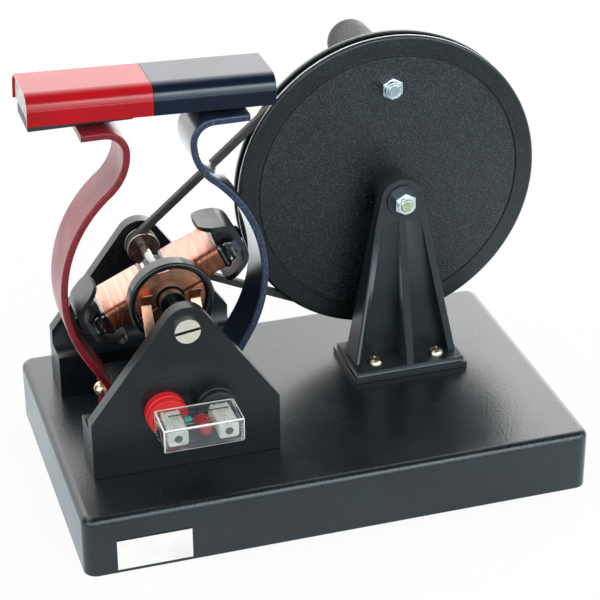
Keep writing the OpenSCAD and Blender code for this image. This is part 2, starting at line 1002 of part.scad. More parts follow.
// The outer layer of a coil: one tube wound round the core. A loop has 24 places: the
// middle of the upper side, then round by the corners. Each place is [y, z, outward angle].
wire_r = wire_d / 2;
wire_off = wire_r + 0.08;
turn_r = core_r + wire_off;
turn_y = core_y - core_r;
turn_z = core_z - core_r;
wire_bend = 0.9;
loop_places = concat(
    [[0, turn_z + turn_r, 90], [turn_y / 2, turn_z + turn_r, 90]],
    [for (a = [90:-30:0]) [turn_y + turn_r * cos(a), turn_z + turn_r * sin(a), a]],
    [[turn_y + turn_r, 0, 0]],
    [for (a = [0:-30:-90]) [turn_y + turn_r * cos(a), -turn_z + turn_r * sin(a), a]],
    [for (k = [1, 0, -1]) [k * turn_y / 2, -turn_z - turn_r, -90]],
    [for (a = [-90:-30:-180]) [-turn_y + turn_r * cos(a), -turn_z + turn_r * sin(a), a]],
    [[-turn_y - turn_r, 0, 180]],
    [for (a = [180:-30:90]) [-turn_y + turn_r * cos(a), turn_z + turn_r * sin(a), a]],
    [[-turn_y / 2, turn_z + turn_r, 90]]
);
places = len(loop_places);
wind_from = coil_from + wire_d + wire_bend;
wind_to = coil_to - wire_d - wire_bend;
wire_pitch = (wind_to - wind_from) / coil_loops;
wire_top = turn_z + turn_r;
wire_path = concat(
    [[coil_from, -wire_bend, wire_top, 90]],
    [for (a = [0:30:60])
        [coil_from + wire_d + wire_bend * sin(a), -wire_bend * cos(a), wire_top, 90]],
    [for (i = [0:coil_loops * places])
        let (q = loop_places[i % places])
        [wind_from + wire_pitch * i / places, q[0], q[1], q[2]]],
    [for (a = [30:30:90])
        [wind_to + wire_bend * (1 - cos(a)), wire_bend * sin(a), wire_top, 90]],
    [[coil_to, wire_bend, wire_top, 90]]
);
wire_n = len(wire_path) - 1;
function wire_at(i) = [wire_path[i][0], wire_path[i][1], wire_path[i][2]];
function wire_way(i) =
    i == 0 || i == wire_n ? [1, 0, 0] : unit(wire_at(i + 1) - wire_at(i - 1));
wire_points = [
    for (i = [0:wire_n])
        let (
            out = [0, cos(wire_path[i][3]), sin(wire_path[i][3])],
            across = unit(cross(wire_way(i), out)),
            rise = cross(across, wire_way(i))
        )
        for (k = [0:5])
            wire_at(i) + wire_r * (cos(60 * k) * rise + sin(60 * k) * across)
];
wire_faces = concat(
    [for (k = [1:4]) [0, k + 1, k]],
    [for (i = [0:wire_n - 1], k = [0:5]) [6 * i + k, 6 * i + (k + 1) % 6, 6 * i + 6 + k]],
    [for (i = [0:wire_n - 1], k = [0:5])
        [6 * i + (k + 1) % 6, 6 * i + 6 + (k + 1) % 6, 6 * i + 6 + k]],
    [for (k = [1:4]) 6 * wire_n * [1, 1, 1] + [0, k, k + 1]]
);
wire_clear = min([
    for (i = [0:wire_n - 9])
        for (j = [i + 9:min(i + 60, wire_n)])
            norm(wire_at(i) - wire_at(j))
]) - wire_d;
echo(least_wire_gap = wire_clear);

module winding() {
    polyhedron(points = wire_points, faces = wire_faces, convexity = 10);
}

module coil_right() {
    color("#c27b58")
        on_arm()
            winding();
}

module coil_left() {
    color("#c27b58")
        on_arm()
            rotate([0, 180, 0])
                winding();
}

module commutator_cup() {
    r = cup_d / 2;
    color("#17181a")
        turned_y([axis_x, cup_front, axis_z])
            polygon([
                [shaft_d / 2 + fit_gap, -1], [cup_hub_d / 2, -1],
                [cup_hub_d / 2, cup_t - cup_floor], [r - cup_wall, cup_t - cup_floor],
                [r - cup_wall, 0.6], [r - cup_wall + 0.6, 0], [r - 0.6, 0], [r, 0.6],
                [r, cup_t], [shaft_d / 2 + fit_gap, cup_t]
            ]);
}

module commutator_segments() {
    gap = 1.2;
    outer = cup_d / 2 - cup_wall - 0.4;
    inner = cup_hub_d / 2 + 0.6;
    color("#b5704c")
        translate([axis_x, segment_y, axis_z])
            rotate([0, -arm_tilt, 0])
                for (a = [0, 180])
                    rotate([0, a, 0])
                        intersection() {
                            turned_y([0, 0, 0])
                                translate([inner, 0])
                                    square([outer - inner, segment_t]);
                            translate([-cup_d, -1, gap / 2])
                                cube([2 * cup_d, 4, cup_d]);
                        }
}

module pulley() {
    w = pulley_w;
    r = pulley_d / 2;
    side = (w - groove_side) / 2;
    color("#8f8c86")
        turned_y([axis_x, pulley_y - w / 2, axis_z])
            polygon([
                [shaft_d / 2 + fit_gap, 0], [r, 0], [r, side - 0.4],
                [pulley_groove_r, side], [pulley_groove_r, w - side],
                [r, w - side + 0.4], [r, w], [shaft_d / 2 + fit_gap, w]
            ]);
}

sleeve_d = 3;
sleeve_bore = 1.2;
sleeve_at = [1.6, sqrt(pow((hub_core_d + sleeve_d) / 2 + eps, 2) - pow(1.6, 2))];

module lead_sleeve() {
    l = hub_core_w - 1;
    color("#e9e8e2")
        on_arm()
            difference() {
                rod_y([sleeve_at[0], -l / 2, sleeve_at[1]], sleeve_d, l);
                rod_y([sleeve_at[0], -l, sleeve_at[1]], sleeve_bore, 2 * l);
            }
}

module coil_lead() {
    y0 = cup_front + cup_t - arm_y;
    color("#c27b58")
        on_arm()
            rod_y([sleeve_at[0], y0, sleeve_at[1]], sleeve_bore - 2 * fit_gap,
                hub_core_w / 2 + 1.5 - y0);
}

// Bar magnet

// places the loose magnet, which leans a little, with its underside at z of zero
module in_magnet() {
    translate([axis_x - magnet_left, magnet_y, magnet_z])
        rotate([0, magnet_lean, 0])
            children();
}

module cover_profile() {
    difference() {
        translate([-magnet_w / 2, 0])
            round_top(magnet_w, magnet_h, cover_r);
        translate([-magnet_w / 2 + cover_t, -1])
            round_top(magnet_w - 2 * cover_t, magnet_h - cover_t + 1, cover_r - cover_t);
    }
}

module magnet_cover(x0) {
    in_magnet()
        slab_x(x0, magnet_l / 2 - eps)
            cover_profile();
}

module magnet_cover_red() {
    color("#c2202b")
        magnet_cover(-magnet_l / 2);
}

module magnet_cover_blue() {
    color("#1b2438")
        magnet_cover(eps);
}

module magnet_core() {
    w = magnet_w - 2 * cover_t - 2 * hole_gap;
    color("#c9cac6")
        in_magnet()
            slab_x(-magnet_l / 2 + end_recess, magnet_l - 2 * end_recess)
                translate([-w / 2, 0])
                    round_top(w, magnet_h - cover_t - hole_gap, cover_r - cover_t);
}

// the level of the strips' tabs below a place along the leaning magnet
function pad_low(x) = (x * sin(magnet_lean) - pad_t) / cos(magnet_lean);

module magnet_pads() {
    color("#2a2d30")
        in_magnet()
            for (x = pad_spans)
                slab_y(-pad_w / 2, pad_w)
                    polygon([[x[0], pad_low(x[0])], [x[1], pad_low(x[1])], [x[1], 0], [x[0], 0]]);
}

// Drive wheel and crank

module drive_wheel() {
    r = wheel_d / 2;
    side = (wheel_t - groove_side) / 2;
    line_r = 0.87 * r;
    color("#1f2123")
        difference() {
            turned_y([wheel_x, wheel_y, wheel_z])
                polygon([
                    [axle_d / 2 + fit_gap, -hub_l], [hub_d / 2, -hub_l], [hub_d / 2, 0],
                    [line_r - 0.5, 0], [line_r - 0.5, 0.5], [line_r + 0.5, 0.5],
                    [line_r + 0.5, 0], [r, 0], [r, side], [wheel_groove_r, side],
                    [wheel_groove_r, wheel_t - side], [r, wheel_t - side], [r, wheel_t],
                    [axle_d / 2 + fit_gap, wheel_t]
                ]);
            rod_y([wheel_x, wheel_y - 1, wheel_z + crank_r], bolt_d + 2 * fit_gap, wheel_t + 2);
        }
}

grip_bolt_d = 6;
grip_head_d = 9.5;
grip_head_t = 2.5;
grip_sink = 4.5;

module handle_bolt() {
    back = wheel_y + wheel_t;
    y0 = wheel_y - nut_t - bolt_proud;
    head_y = grip_y + grip_l - grip_sink + run_gap;
    color("#c3c5c6")
        translate([wheel_x, 0, wheel_z + crank_r]) {
            rod_y([0, y0, 0], bolt_d, back - y0 + 1);
            rod_y([0, back, 0], grip_bolt_d, head_y - back + 1);
            rod_y([0, head_y, 0], grip_head_d, grip_head_t);
        }
}

module handle_nut() {
    color("#c3c5c6")
        nut_y([wheel_x, wheel_y - nut_t, wheel_z + crank_r]);
}

module handle_grip() {
    r = grip_d / 2;
    bore = grip_bolt_d / 2 + 2 * fit_gap;
    sink = grip_head_d / 2 + 2 * run_gap;
    round_r = 3;
    color("#35373a")
        turned_y([wheel_x, grip_y, wheel_z + crank_r])
            difference() {
                union() {
                    translate([0, 1])
                        square([r, grip_l - 1 - round_r]);
                    square([r - 1, 2]);
                    square([r - round_r, grip_l]);
                    intersection() {
                        translate([r - round_r, grip_l - round_r])
                            circle(round_r);
                        square([r, grip_l]);
                    }
                }
                translate([-1, -1])
                    square([1 + bore, grip_l + 2]);
                translate([-1, grip_l - grip_sink])
                    square([1 + sink, grip_sink + 1]);
            }
}

// Plug-in lamp indicator

module led_case() {
    color("#dfe8ea", 0.35)
        translate([axis_x - case_l / 2, case_y, socket_z - case_h / 2])
            difference() {
                cube([case_l, case_w, case_h]);
                translate([case_wall, case_wall, case_wall])
                    cube([case_l - 2 * case_wall, case_w, case_h - 2 * case_wall]);
            }
}

module led_plugs() {
    color("#e6e4dd")
        for (s = [-1, 1])
            difference() {
                translate([axis_x + s * socket_pitch / 2 - plug_w / 2, plug_y,
                        socket_z - plug_h / 2])
                    cube([plug_w, plug_l, plug_h]);
                rod_y([axis_x + s * socket_pitch / 2, plug_y + 4, socket_z],
                    pin_d + 2 * fit_gap, plug_l);
            }
}

module led_pins() {
    color("#c8c6bd")
        for (s = [-1, 1])
            rod_y([axis_x + s * socket_pitch / 2, plug_y + 4.2, socket_z], pin_d,
                front_in + 2 - plug_y - 4.2);
}

module led_lamp() {
    y0 = plug_y + 4;
    color("#c01b2e")
        turned_y([axis_x + led_x, y0, socket_z])
            intersection() {
                union() {
                    circle(d = led_d);
                    square([led_d / 2, 4]);
                    translate([0, 3.6])
                        square([led_d / 2 + 0.4, 1]);
                }
                translate([0, -led_d])
                    square([led_d, 3 * led_d]);
            }
}

resistor_x = -3.2;
resistor_l = 2.4;

module led_resistor() {
    color("#1fa596")
        translate([axis_x + resistor_x - resistor_l / 2, lead_y, socket_z])
            rotate([0, 90, 0])
                cylinder(d = 2.4, h = resistor_l);
}

module lead_wire(p) {
    translate([axis_x, 0, socket_z - lead_d / 2])
        linear_extrude(lead_d)
            bent_sheet(p, lead_d);
}

module led_leads() {
    plug_face = socket_pitch / 2 - plug_w / 2;
    lamp_back = plug_y + 8.6;
    color("#d6d6d2") {
        lead_wire([[-plug_face, lead_y], [resistor_x - resistor_l / 2, lead_y]]);
        lead_wire([[resistor_x + resistor_l / 2, lead_y], [led_x - 1.2, lead_y],
            [led_x - 1.2, lamp_back]]);
        lead_wire([[plug_face, lead_y], [led_x + 1.2, lead_y], [led_x + 1.2, lamp_back]]);
    }
}

placed() base();
placed() label();
placed() front_support();
placed() rear_support();
placed() foot_screws();
placed() front_bearing();
placed() rear_bearing();
placed() pole_strip_red();
placed() pole_strip_blue();
placed() pole_block();
placed() pole_screws();
placed() brush_left();
placed() brush_right();
placed() socket_red();
placed() socket_black();
placed() socket_tubes();
placed() socket_nuts();
placed() wheel_stand();
placed() stand_screws();
placed() wheel_axle();
placed() axle_nut();
placed() axle_washer();
placed() drive_belt();
placed() shaft();
placed() armature_core();
placed() pole_shoes();
placed() shoe_rivets();
placed() coil_flanges();
placed() winding_cores();
placed() coil_right();
placed() coil_left();
placed() commutator_cup();
placed() commutator_segments();
placed() pulley();
placed() lead_sleeve();
placed() coil_lead();
placed() magnet_cover_red();
placed() magnet_cover_blue();
placed() magnet_core();
placed() magnet_pads();
placed() drive_wheel();
placed() handle_bolt();
placed() handle_nut();
placed() handle_grip();
placed() led_case();
placed() led_plugs();
placed() led_pins();
placed() led_lamp();
placed() led_resistor();
placed() led_leads();
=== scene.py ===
# %% [markdown]
# # A hand-driven demonstration dynamo
# A crank turns a large wheel, a belt carries the motion to a small pulley, and a wound armature
# spins between two bowed pole strips that hold up a bar magnet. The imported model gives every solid
# in its real place, in metres. Here each one gets its finish, and the pieces whose form a solid only
# hints at, such as the coils, are made again in full.

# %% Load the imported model
import json
import math

import bmesh
import bpy
from mathutils import Matrix, Vector, noise


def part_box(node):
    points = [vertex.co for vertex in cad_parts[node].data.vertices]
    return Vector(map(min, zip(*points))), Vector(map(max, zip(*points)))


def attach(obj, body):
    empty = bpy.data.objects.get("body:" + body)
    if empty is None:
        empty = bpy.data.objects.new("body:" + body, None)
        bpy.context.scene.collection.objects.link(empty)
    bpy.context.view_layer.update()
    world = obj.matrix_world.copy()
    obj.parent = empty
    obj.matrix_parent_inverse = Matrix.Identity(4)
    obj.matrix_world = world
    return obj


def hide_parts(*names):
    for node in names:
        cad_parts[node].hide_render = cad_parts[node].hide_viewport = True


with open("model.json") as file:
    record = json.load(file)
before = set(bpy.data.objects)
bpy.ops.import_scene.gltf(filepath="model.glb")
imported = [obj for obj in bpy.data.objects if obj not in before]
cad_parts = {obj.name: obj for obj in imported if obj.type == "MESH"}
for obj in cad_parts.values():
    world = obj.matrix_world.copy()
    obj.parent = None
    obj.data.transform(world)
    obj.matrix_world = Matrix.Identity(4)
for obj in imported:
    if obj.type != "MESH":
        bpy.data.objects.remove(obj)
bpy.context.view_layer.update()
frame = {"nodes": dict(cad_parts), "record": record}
nodes = frame["nodes"]
BODY_OF = {n: b for b, group in frame["record"]["behaviour"]["bodies"].items() for n in group}
SLOT_OF = {row["node"]: row["material_slot"] for row in frame["record"]["subparts"]}
MM = 0.001

# %% [markdown]
# ## Camera
# The object was photographed from in front, a little to its left and from above, with a long lens.
# Five settings give that view: where the lens stands, how far it looks down, how far it is turned, a
# slight roll and the focal length. They were found by fitting the corners of the base, the supports
# and the magnet.

# %% Camera
CAMERA_AT = Vector((-207.75, -677.55, 448.5)) * MM
CAMERA_DOWN = 28.658
CAMERA_TURN = -17.01
CAMERA_ROLL = -0.4
CAMERA_LENS = 122.38


def turned(degrees, axis):
    return Matrix.Rotation(math.radians(degrees), 4, axis)


scene = bpy.context.scene
lens = bpy.data.cameras.new("camera")
lens.lens = CAMERA_LENS
lens.sensor_width = 36.0
lens.clip_end = 20.0
camera = bpy.data.objects.new("camera", lens)
scene.collection.objects.link(camera)
camera.matrix_world = (
    Matrix.Translation(CAMERA_AT)
    @ turned(CAMERA_TURN, "Z")
    @ turned(90 - CAMERA_DOWN, "X")
    @ turned(CAMERA_ROLL, "Z")
)
scene.camera = camera
scene.view_settings.view_transform = "Standard"
print("camera stands", round(CAMERA_AT.length, 3), "m from the object")

# %% [markdown]
# ## Nodes and colours
# Every finish is a small tree of shader nodes. One helper adds a node, sets its properties and
# fills its inputs. A node that is given for an input stands for the first of its outputs in use.
# Colours are written as the hex values that an eye would pick, and turned to the linear light that
# a renderer works in.

# %% Helpers for nodes and colours


def feed(tree, node, inputs):
    for key, value in inputs.items():
        if isinstance(value, bpy.types.Node):
            value = next(out for out in value.outputs if out.enabled)
        if isinstance(value, bpy.types.NodeSocket):
            tree.links.new(value, node.inputs[key])
        else:
            node.inputs[key].default_value = value
    return node


def add(tree, kind, inputs=None, **settings):
    node = tree.nodes.new(kind)
    for name, value in settings.items():
        setattr(node, name, value)
    return feed(tree, node, inputs or {})


def srgb(code):
    parts = [int(code[i : i + 2], 16) / 255 for i in (1, 3, 5)]
    light = [c / 12.92 if c <= 0.04045 else ((c + 0.055) / 1.055) ** 2.4 for c in parts]
    return (*light, 1.0)


# %% [markdown]
# ## Studio
# The photo is a cut-out on white. A large white room does the same job: the camera sees plain
# white, while the object is lit at a plain level. What shiny surfaces mirror is another matter. The
# backdrop behind such an object is lit far brighter than white, and the room behind the camera is
# dim and cool, but for one bright window that reaches from the floor to well above the lens. That is
# what gives the satin black plastic its pale sheen on top, its blue-black depth in front, and the
# light line along every rounded edge that faces the lens. Soft panels add the broad light. An edge
# of the window is given by an axis and the places where it starts and ends, and a shade of the floor
# by the same and its two levels.

# %% Studio
ROOM_FILL = 0.8
ROOM_FRONT = 0.14
ROOM_BACK = 3.6
ROOM_LEFT = 0.35
ROOM_WINDOW = 5.0
ROOM_COOL = "#c4dbe4"
FLOOR_SIZE = 6.0
FLOOR_WHITE = 0.92
FLOOR_FRONT = 1.0
FLOOR_BACK = 2.2
FLOOR_FAR = 0.3
FLOOR_RIGHT = 1.6
FLOOR_SHADES = ((1, -0.34, -0.1, FLOOR_FAR, 1.0), (0, 0.02, 0.2, 1.0, FLOOR_RIGHT))
WINDOW_EDGES = ((2, -0.05, 0.12), (2, 0.76, 0.5), (1, -0.1, -0.3))
WHITE = (1, 1, 1, 1)
SMOOTH = {"interpolation_type": "SMOOTHSTEP"}


def from_front_to_back(tree, start, end, near, far):
    """The three parts of a place or direction, with a level and a tint that change along y."""
    place = add(tree, "ShaderNodeTexCoord").outputs["Object"]
    parts = add(tree, "ShaderNodeSeparateXYZ", {0: place}).outputs
    depth = add(tree, "ShaderNodeMapRange", {0: parts[1], 1: start, 2: end}, **SMOOTH)
    level = add(tree, "ShaderNodeMix", {0: depth, 2: near, 3: far}, data_type="FLOAT")
    tint = add(tree, "ShaderNodeMix", {0: depth, 6: srgb(ROOM_COOL), 7: WHITE}, data_type="RGBA")
    return parts, level, tint


room = bpy.data.worlds.new("white_room")
scene.world = room
room.use_nodes = True
tree = room.node_tree
tree.nodes.clear()
rays = add(tree, "ShaderNodeLightPath").outputs
parts, level, tint = from_front_to_back(tree, 0.0, 0.75, ROOM_FRONT, ROOM_BACK)
sideways = add(tree, "ShaderNodeMapRange", {0: parts[0], 1: -0.7, 2: -0.25, 3: ROOM_LEFT}, **SMOOTH)
strength = add(tree, "ShaderNodeMath", {0: level, 1: sideways}, operation="MULTIPLY")
window = ROOM_WINDOW
for axis, start, end in WINDOW_EDGES:
    share = add(tree, "ShaderNodeMapRange", {0: parts[axis], 1: start, 2: end}, **SMOOTH)
    window = add(tree, "ShaderNodeMath", {0: share, 1: window}, operation="MULTIPLY")
strength = add(tree, "ShaderNodeMath", {0: strength, 1: window}, operation="ADD")
straight = {0: rays["Is Camera Ray"], 1: rays["Is Transmission Ray"]}
direct = add(tree, "ShaderNodeMath", straight, operation="MAXIMUM")
fill = add(tree, "ShaderNodeBackground", {0: WHITE, 1: ROOM_FILL})
mirrored = add(tree, "ShaderNodeBackground", {0: tint, 1: strength})
white = add(tree, "ShaderNodeBackground", {0: WHITE, 1: 1.0})
either = add(tree, "ShaderNodeMixShader", {0: rays["Is Glossy Ray"], 1: fill, 2: mirrored})
both = add(tree, "ShaderNodeMixShader", {0: direct, 1: either, 2: white})
add(tree, "ShaderNodeOutputWorld", {0: both})

floor_finish = bpy.data.materials.new("white_floor")
floor_finish.use_nodes = True
tree = floor_finish.node_tree
tree.nodes.clear()
rays = add(tree, "ShaderNodeLightPath").outputs
glossy = rays["Is Glossy Ray"]
parts, level, cool = from_front_to_back(tree, -0.5, 0.6, FLOOR_FRONT, FLOOR_BACK)
for axis, start, end, low, high in FLOOR_SHADES:
    span = {0: parts[axis], 1: start, 2: end, 3: low, 4: high}
    share = add(tree, "ShaderNodeMapRange", span, **SMOOTH)
    level = add(tree, "ShaderNodeMath", {0: level, 1: share}, operation="MULTIPLY")
window = add(tree, "ShaderNodeMapRange", {0: parts[1], 1: -0.5, 2: -1.2, 4: ROOM_WINDOW}, **SMOOTH)
level = add(tree, "ShaderNodeMath", {0: level, 1: window}, operation="ADD")
strength = add(tree, "ShaderNodeMix", {0: glossy, 2: 1.0, 3: level}, data_type="FLOAT")
tint = add(tree, "ShaderNodeMix", {0: glossy, 6: WHITE, 7: cool}, data_type="RGBA")
either = add(tree, "ShaderNodeMath", {0: rays["Is Camera Ray"], 1: glossy}, operation="MAXIMUM")
shown = add(tree, "ShaderNodeMath", {0: either, 1: FLOOR_WHITE}, operation="MULTIPLY")
matt = add(tree, "ShaderNodeBsdfDiffuse", {0: (0.9, 0.9, 0.9, 1)})
glow = add(tree, "ShaderNodeEmission", {0: tint, 1: strength})
both = add(tree, "ShaderNodeMixShader", {0: shown, 1: matt, 2: glow})
add(tree, "ShaderNodeOutputMaterial", {0: both})

half = FLOOR_SIZE / 2
floor_mesh = bpy.data.meshes.new("floor")
floor_mesh.from_pydata(
    [(-half, -half, 0), (half, -half, 0), (half, half, 0), (-half, half, 0)], [], [(0, 1, 2, 3)]
)
floor_mesh.materials.append(floor_finish)
floor = bpy.data.objects.new("floor", floor_mesh)
scene.collection.objects.link(floor)


def soft_panel(name, place, target, width, height, power):
    lamp = bpy.data.lights.new(name, "AREA")
    lamp.shape = "RECTANGLE"
    lamp.size = width
    lamp.size_y = height
    lamp.energy = power
    panel = bpy.data.objects.new(name, lamp)
    scene.collection.objects.link(panel)
    panel.location = place
    panel.rotation_euler = (Vector(target) - Vector(place)).to_track_quat("-Z", "Y").to_euler()
    panel.visible_camera = False


soft_panel("panel_behind_right", (1.35, 1.5, 1.05), (0.05, 0, 0.05), 1.5, 1.1, 10)
soft_panel("panel_above_left", (-0.9, 0.1, 1.5), (-0.05, 0, 0.1), 1.0, 1.0, 7)
soft_panel("panel_front", (0.6, -1.5, 1.1), (0, 0, 0.06), 0.8, 0.6, 7)
print("floor and three panels")

# %% [markdown]
# ## Finishes
# Moulded plastic, paint and plated metal all have the same three layers: a colour that drifts a
# little over the piece, a gloss that drifts with it, and a fine relief. One function writes those
# three from sizes in millimetres, and each finish then says what the real one is. Grain finer than
# about half a millimetre would vanish in a picture of this size, so such grain is drawn coarser. Two
# more helpers serve the finishes with a pattern: one lays a tone over the colour, and one measures
# how far a point lies from an axis.

# %% The layered finish


def finish(name, tones, gloss, patch, grain=0.5, relief=0.0, glint_paint=None, stretch=(1, 1, 1), **sockets):
    """Two tones and a low and a high roughness over patches, with a relief over grains, in millimetres.

    A glint paint is a tone and a share: the peaks of the grain take that tone as painted glints."""
    material = bpy.data.materials.new(name)
    material.use_nodes = True
    tree = material.node_tree
    shader = tree.nodes["Principled BSDF"]
    feed(tree, shader, {socket.replace("_", " "): value for socket, value in sockets.items()})
    place = add(tree, "ShaderNodeTexCoord").outputs["Object"]
    drawn = add(tree, "ShaderNodeMapping", {0: place, 3: stretch})
    drift = add(tree, "ShaderNodeTexNoise", {"Vector": drawn, "Scale": 1 / (patch * MM), "Detail": 5.0})
    share = add(tree, "ShaderNodeMapRange", {0: drift, 1: 0.35, 2: 0.65})
    first, second = (srgb(code) for code in tones)
    tone = add(tree, "ShaderNodeMix", {0: share, 6: first, 7: second}, data_type="RGBA")
    fine = add(tree, "ShaderNodeTexNoise", {"Vector": drawn, "Scale": 1 / (grain * MM), "Detail": 2.0})
    # Painted glints: the peaks of the grain take a paler tone.
    if glint_paint:
        glint = add(tree, "ShaderNodeMapRange", {0: fine, 1: 0.45, 2: 0.75, 4: glint_paint[1]})
        tone = add(tree, "ShaderNodeMix", {0: glint, 6: tone, 7: srgb(glint_paint[0])}, data_type="RGBA")
    mixed = add(tree, "ShaderNodeMath", {0: share, 1: fine}, operation="ADD")
    rough = add(tree, "ShaderNodeMapRange", {0: mixed, 1: 0.3, 2: 1.6, 3: gloss[0], 4: gloss[1]})
    feed(tree, shader, {"Base Color": tone, "Roughness": rough})
    if relief:
        bump = add(tree, "ShaderNodeBump", {"Strength": 1.0, "Distance": relief * MM, "Height": fine})
        feed(tree, shader, {"Normal": bump})
    return material


def overlaid(material, share, code):
    """Lays a tone over a finish's own colour, by a share from 0 to 1."""
    tree = material.node_tree
    shader = tree.nodes["Principled BSDF"]
    under = shader.inputs["Base Color"].links[0].from_socket
    tone = add(tree, "ShaderNodeMix", {0: share, 6: under, 7: srgb(code)}, data_type="RGBA")
    feed(tree, shader, {"Base Color": tone})


def about_axis(tree, centre):
    """A point's offset from an axis along y through a centre, and its distance from that axis."""
    place = add(tree, "ShaderNodeTexCoord").outputs["Object"]
    centred = add(tree, "ShaderNodeMapping", {0: place, 1: -centre * MM})
    flat = add(tree, "ShaderNodeVectorMath", {0: centred, 1: (1, 0, 1)}, operation="MULTIPLY")
    return flat, add(tree, "ShaderNodeVectorMath", {0: flat}, operation="LENGTH")


# %% [markdown]
# ### Plastics
# The base, the supports and the stand are moulded in black ABS with a fine spark-eroded grain: it
# scatters the room into a soft grey sheen, least of all on the supports, and the grain's peaks carry
# painted glints in a paler tone. The edges are where hands and cloths polish it, so they are smoother.
# The crank handle is a greyer plastic with a coarser grain, whose peaks carry brighter painted glints.

# %% Plastics
black_abs = finish(
    "moulded_black_abs", ("#0e1417", "#151c20"), (0.23, 0.28), patch=16, grain=0.7, relief=0.06,
    glint_paint=("#343f44", 0.22), IOR=1.5,
)
gable_abs = finish(
    "smooth_black_abs", ("#090d10", "#0f1518"), (0.26, 0.36), patch=16, grain=0.7, relief=0.04,
    glint_paint=("#343f44", 0.2), IOR=1.42,
)
stand_abs = finish(
    "worn_black_abs", ("#161d20", "#1f272b"), (0.28, 0.4), patch=12, grain=0.7, relief=0.04,
    glint_paint=("#414c51", 0.3), IOR=1.5,
)
polished_abs = finish(
    "polished_black_abs_edge", ("#0c1012", "#13181b"), (0.18, 0.28), patch=6, grain=0.8,
    relief=0.012, IOR=1.4,
)
grip_abs = finish(
    "grained_grey_abs", ("#0a0b0c", "#121416"), (0.46, 0.62), patch=9, grain=0.8, relief=0.14,
    glint_paint=("#6d7375", 0.6), IOR=1.4,
)
# A pale finish for the wheel's channel edge: a painted highlight.
rim_highlight_paint = finish(
    "painted_highlight_abs_edge", ("#f2f3f1", "#c0c4c2"), (0.28, 0.4), patch=5, grain=0.6, relief=0.01, IOR=1.5
)
bakelite = finish(
    "pressed_black_phenolic", ("#0c0d0e", "#141617"), (0.16, 0.3), patch=5, grain=0.6,
    relief=0.005, IOR=1.45,
)
red_pvc = finish(
    "moulded_red_pvc", ("#ee252c", "#dc1c24"), (0.26, 0.4), patch=5, grain=0.6, relief=0.008, IOR=1.54
)
black_pvc = finish(
    "moulded_black_pvc", ("#121315", "#1b1c1e"), (0.26, 0.40), patch=5, grain=0.6, relief=0.008, IOR=1.54
)
white_pvc = finish(
    "white_insulating_sleeve", ("#fdfdfb", "#f3f1ec"), (0.42, 0.6), patch=3, relief=0.01, IOR=1.5
)
milky_plastic = finish(
    "milky_polythene", ("#e6e4df", "#c8c5be"), (0.2, 0.35), patch=3, relief=0.012, IOR=1.5
)
label_paper = finish(
    "coated_white_paper", ("#fdfdfb", "#f6f6f3"), (0.5, 0.65), patch=7, relief=0.006, IOR=1.5
)
grey_tape = finish(
    "grey_cloth_tape", ("#a2a7a9", "#bfc3c4"), (0.5, 0.7), patch=2.5, grain=0.6, relief=0.03, IOR=1.48
)
dark_tape = finish(
    "dark_cloth_tape", ("#4a4f53", "#63686b"), (0.5, 0.7), patch=2.5, grain=0.6, relief=0.03, IOR=1.48
)
belt_rubber = finish(
    "worn_black_rubber", ("#252320", "#3b3833"), (0.55, 0.75), patch=5, grain=0.7, relief=0.03, IOR=1.52
)

# %% [markdown]
# ### Paint
# The strips and the magnet's covers are steel sheet under red and navy stove enamel: a smooth coat
# with a faint orange-peel ripple. Where a cut edge shows, the enamel is thin and chips a little, so
# the navy strip carries pale specks along its edges.

# %% Paint
red_enamel = finish(
    "satin_red_enamel", ("#8f1422", "#7a101c"), (0.28, 0.4), patch=14, grain=0.8, relief=0.045, IOR=1.48
)
red_edge = finish(
    "thin_red_enamel_edge", ("#8a1420", "#64111a"), (0.32, 0.48), patch=1.6, grain=0.7,
    relief=0.02, IOR=1.45,
)
navy_enamel = finish(
    "satin_navy_enamel", ("#0e1d36", "#0a1528"), (0.16, 0.26), patch=12, grain=0.8, relief=0.055,
    Coat_Weight=0.3, Coat_Roughness=0.18,
)
red_gloss = finish(
    "glossy_red_enamel", ("#bd0e1b", "#aa0c17"), (0.1, 0.18), patch=18, grain=1.4, relief=0.004, IOR=1.41
)
navy_gloss = finish(
    "glossy_navy_enamel", ("#0c1a30", "#081222"), (0.14, 0.24), patch=16, grain=1.4, relief=0.004,
    IOR=1.46,
)
black_lacquer = finish(
    "brushed_black_lacquer", ("#0b0d0e", "#14181a"), (0.28, 0.4), patch=5, grain=0.8, relief=0.02,
    Coat_Weight=0.15, Coat_Roughness=0.3,
)
dipped_lacquer = finish(
    "dipped_black_varnish", ("#0b0b0c", "#171717"), (0.08, 0.2), patch=2, grain=0.9, relief=0.05,
    Coat_Weight=0.8, Coat_Roughness=0.06,
)

# %% [markdown]
# Chips in the navy edge are small islands of bare, bright primer. A noise at just under a millimetre,
# cut off high, leaves only its peaks, and those take the pale tone.

# %% Chipped navy edge
navy_edge = finish(
    "chipped_navy_enamel_edge", ("#17294a", "#0f1d36"), (0.3, 0.45), patch=4, grain=0.8,
    relief=0.02, Coat_Weight=0.2, Coat_Roughness=0.3,
)
CHIP_SIZE = 0.8
tree = navy_edge.node_tree
place = add(tree, "ShaderNodeTexCoord").outputs["Object"]
specks = add(tree, "ShaderNodeTexNoise", {"Vector": place, "Scale": 1 / (CHIP_SIZE * MM), "Detail": 3.0})
chips = add(tree, "ShaderNodeMapRange", {0: specks, 1: 0.58, 2: 0.68, 4: 0.6})
overlaid(navy_edge, chips, "#7f93b8")
print("paints done, finishes so far:", len(bpy.data.materials))
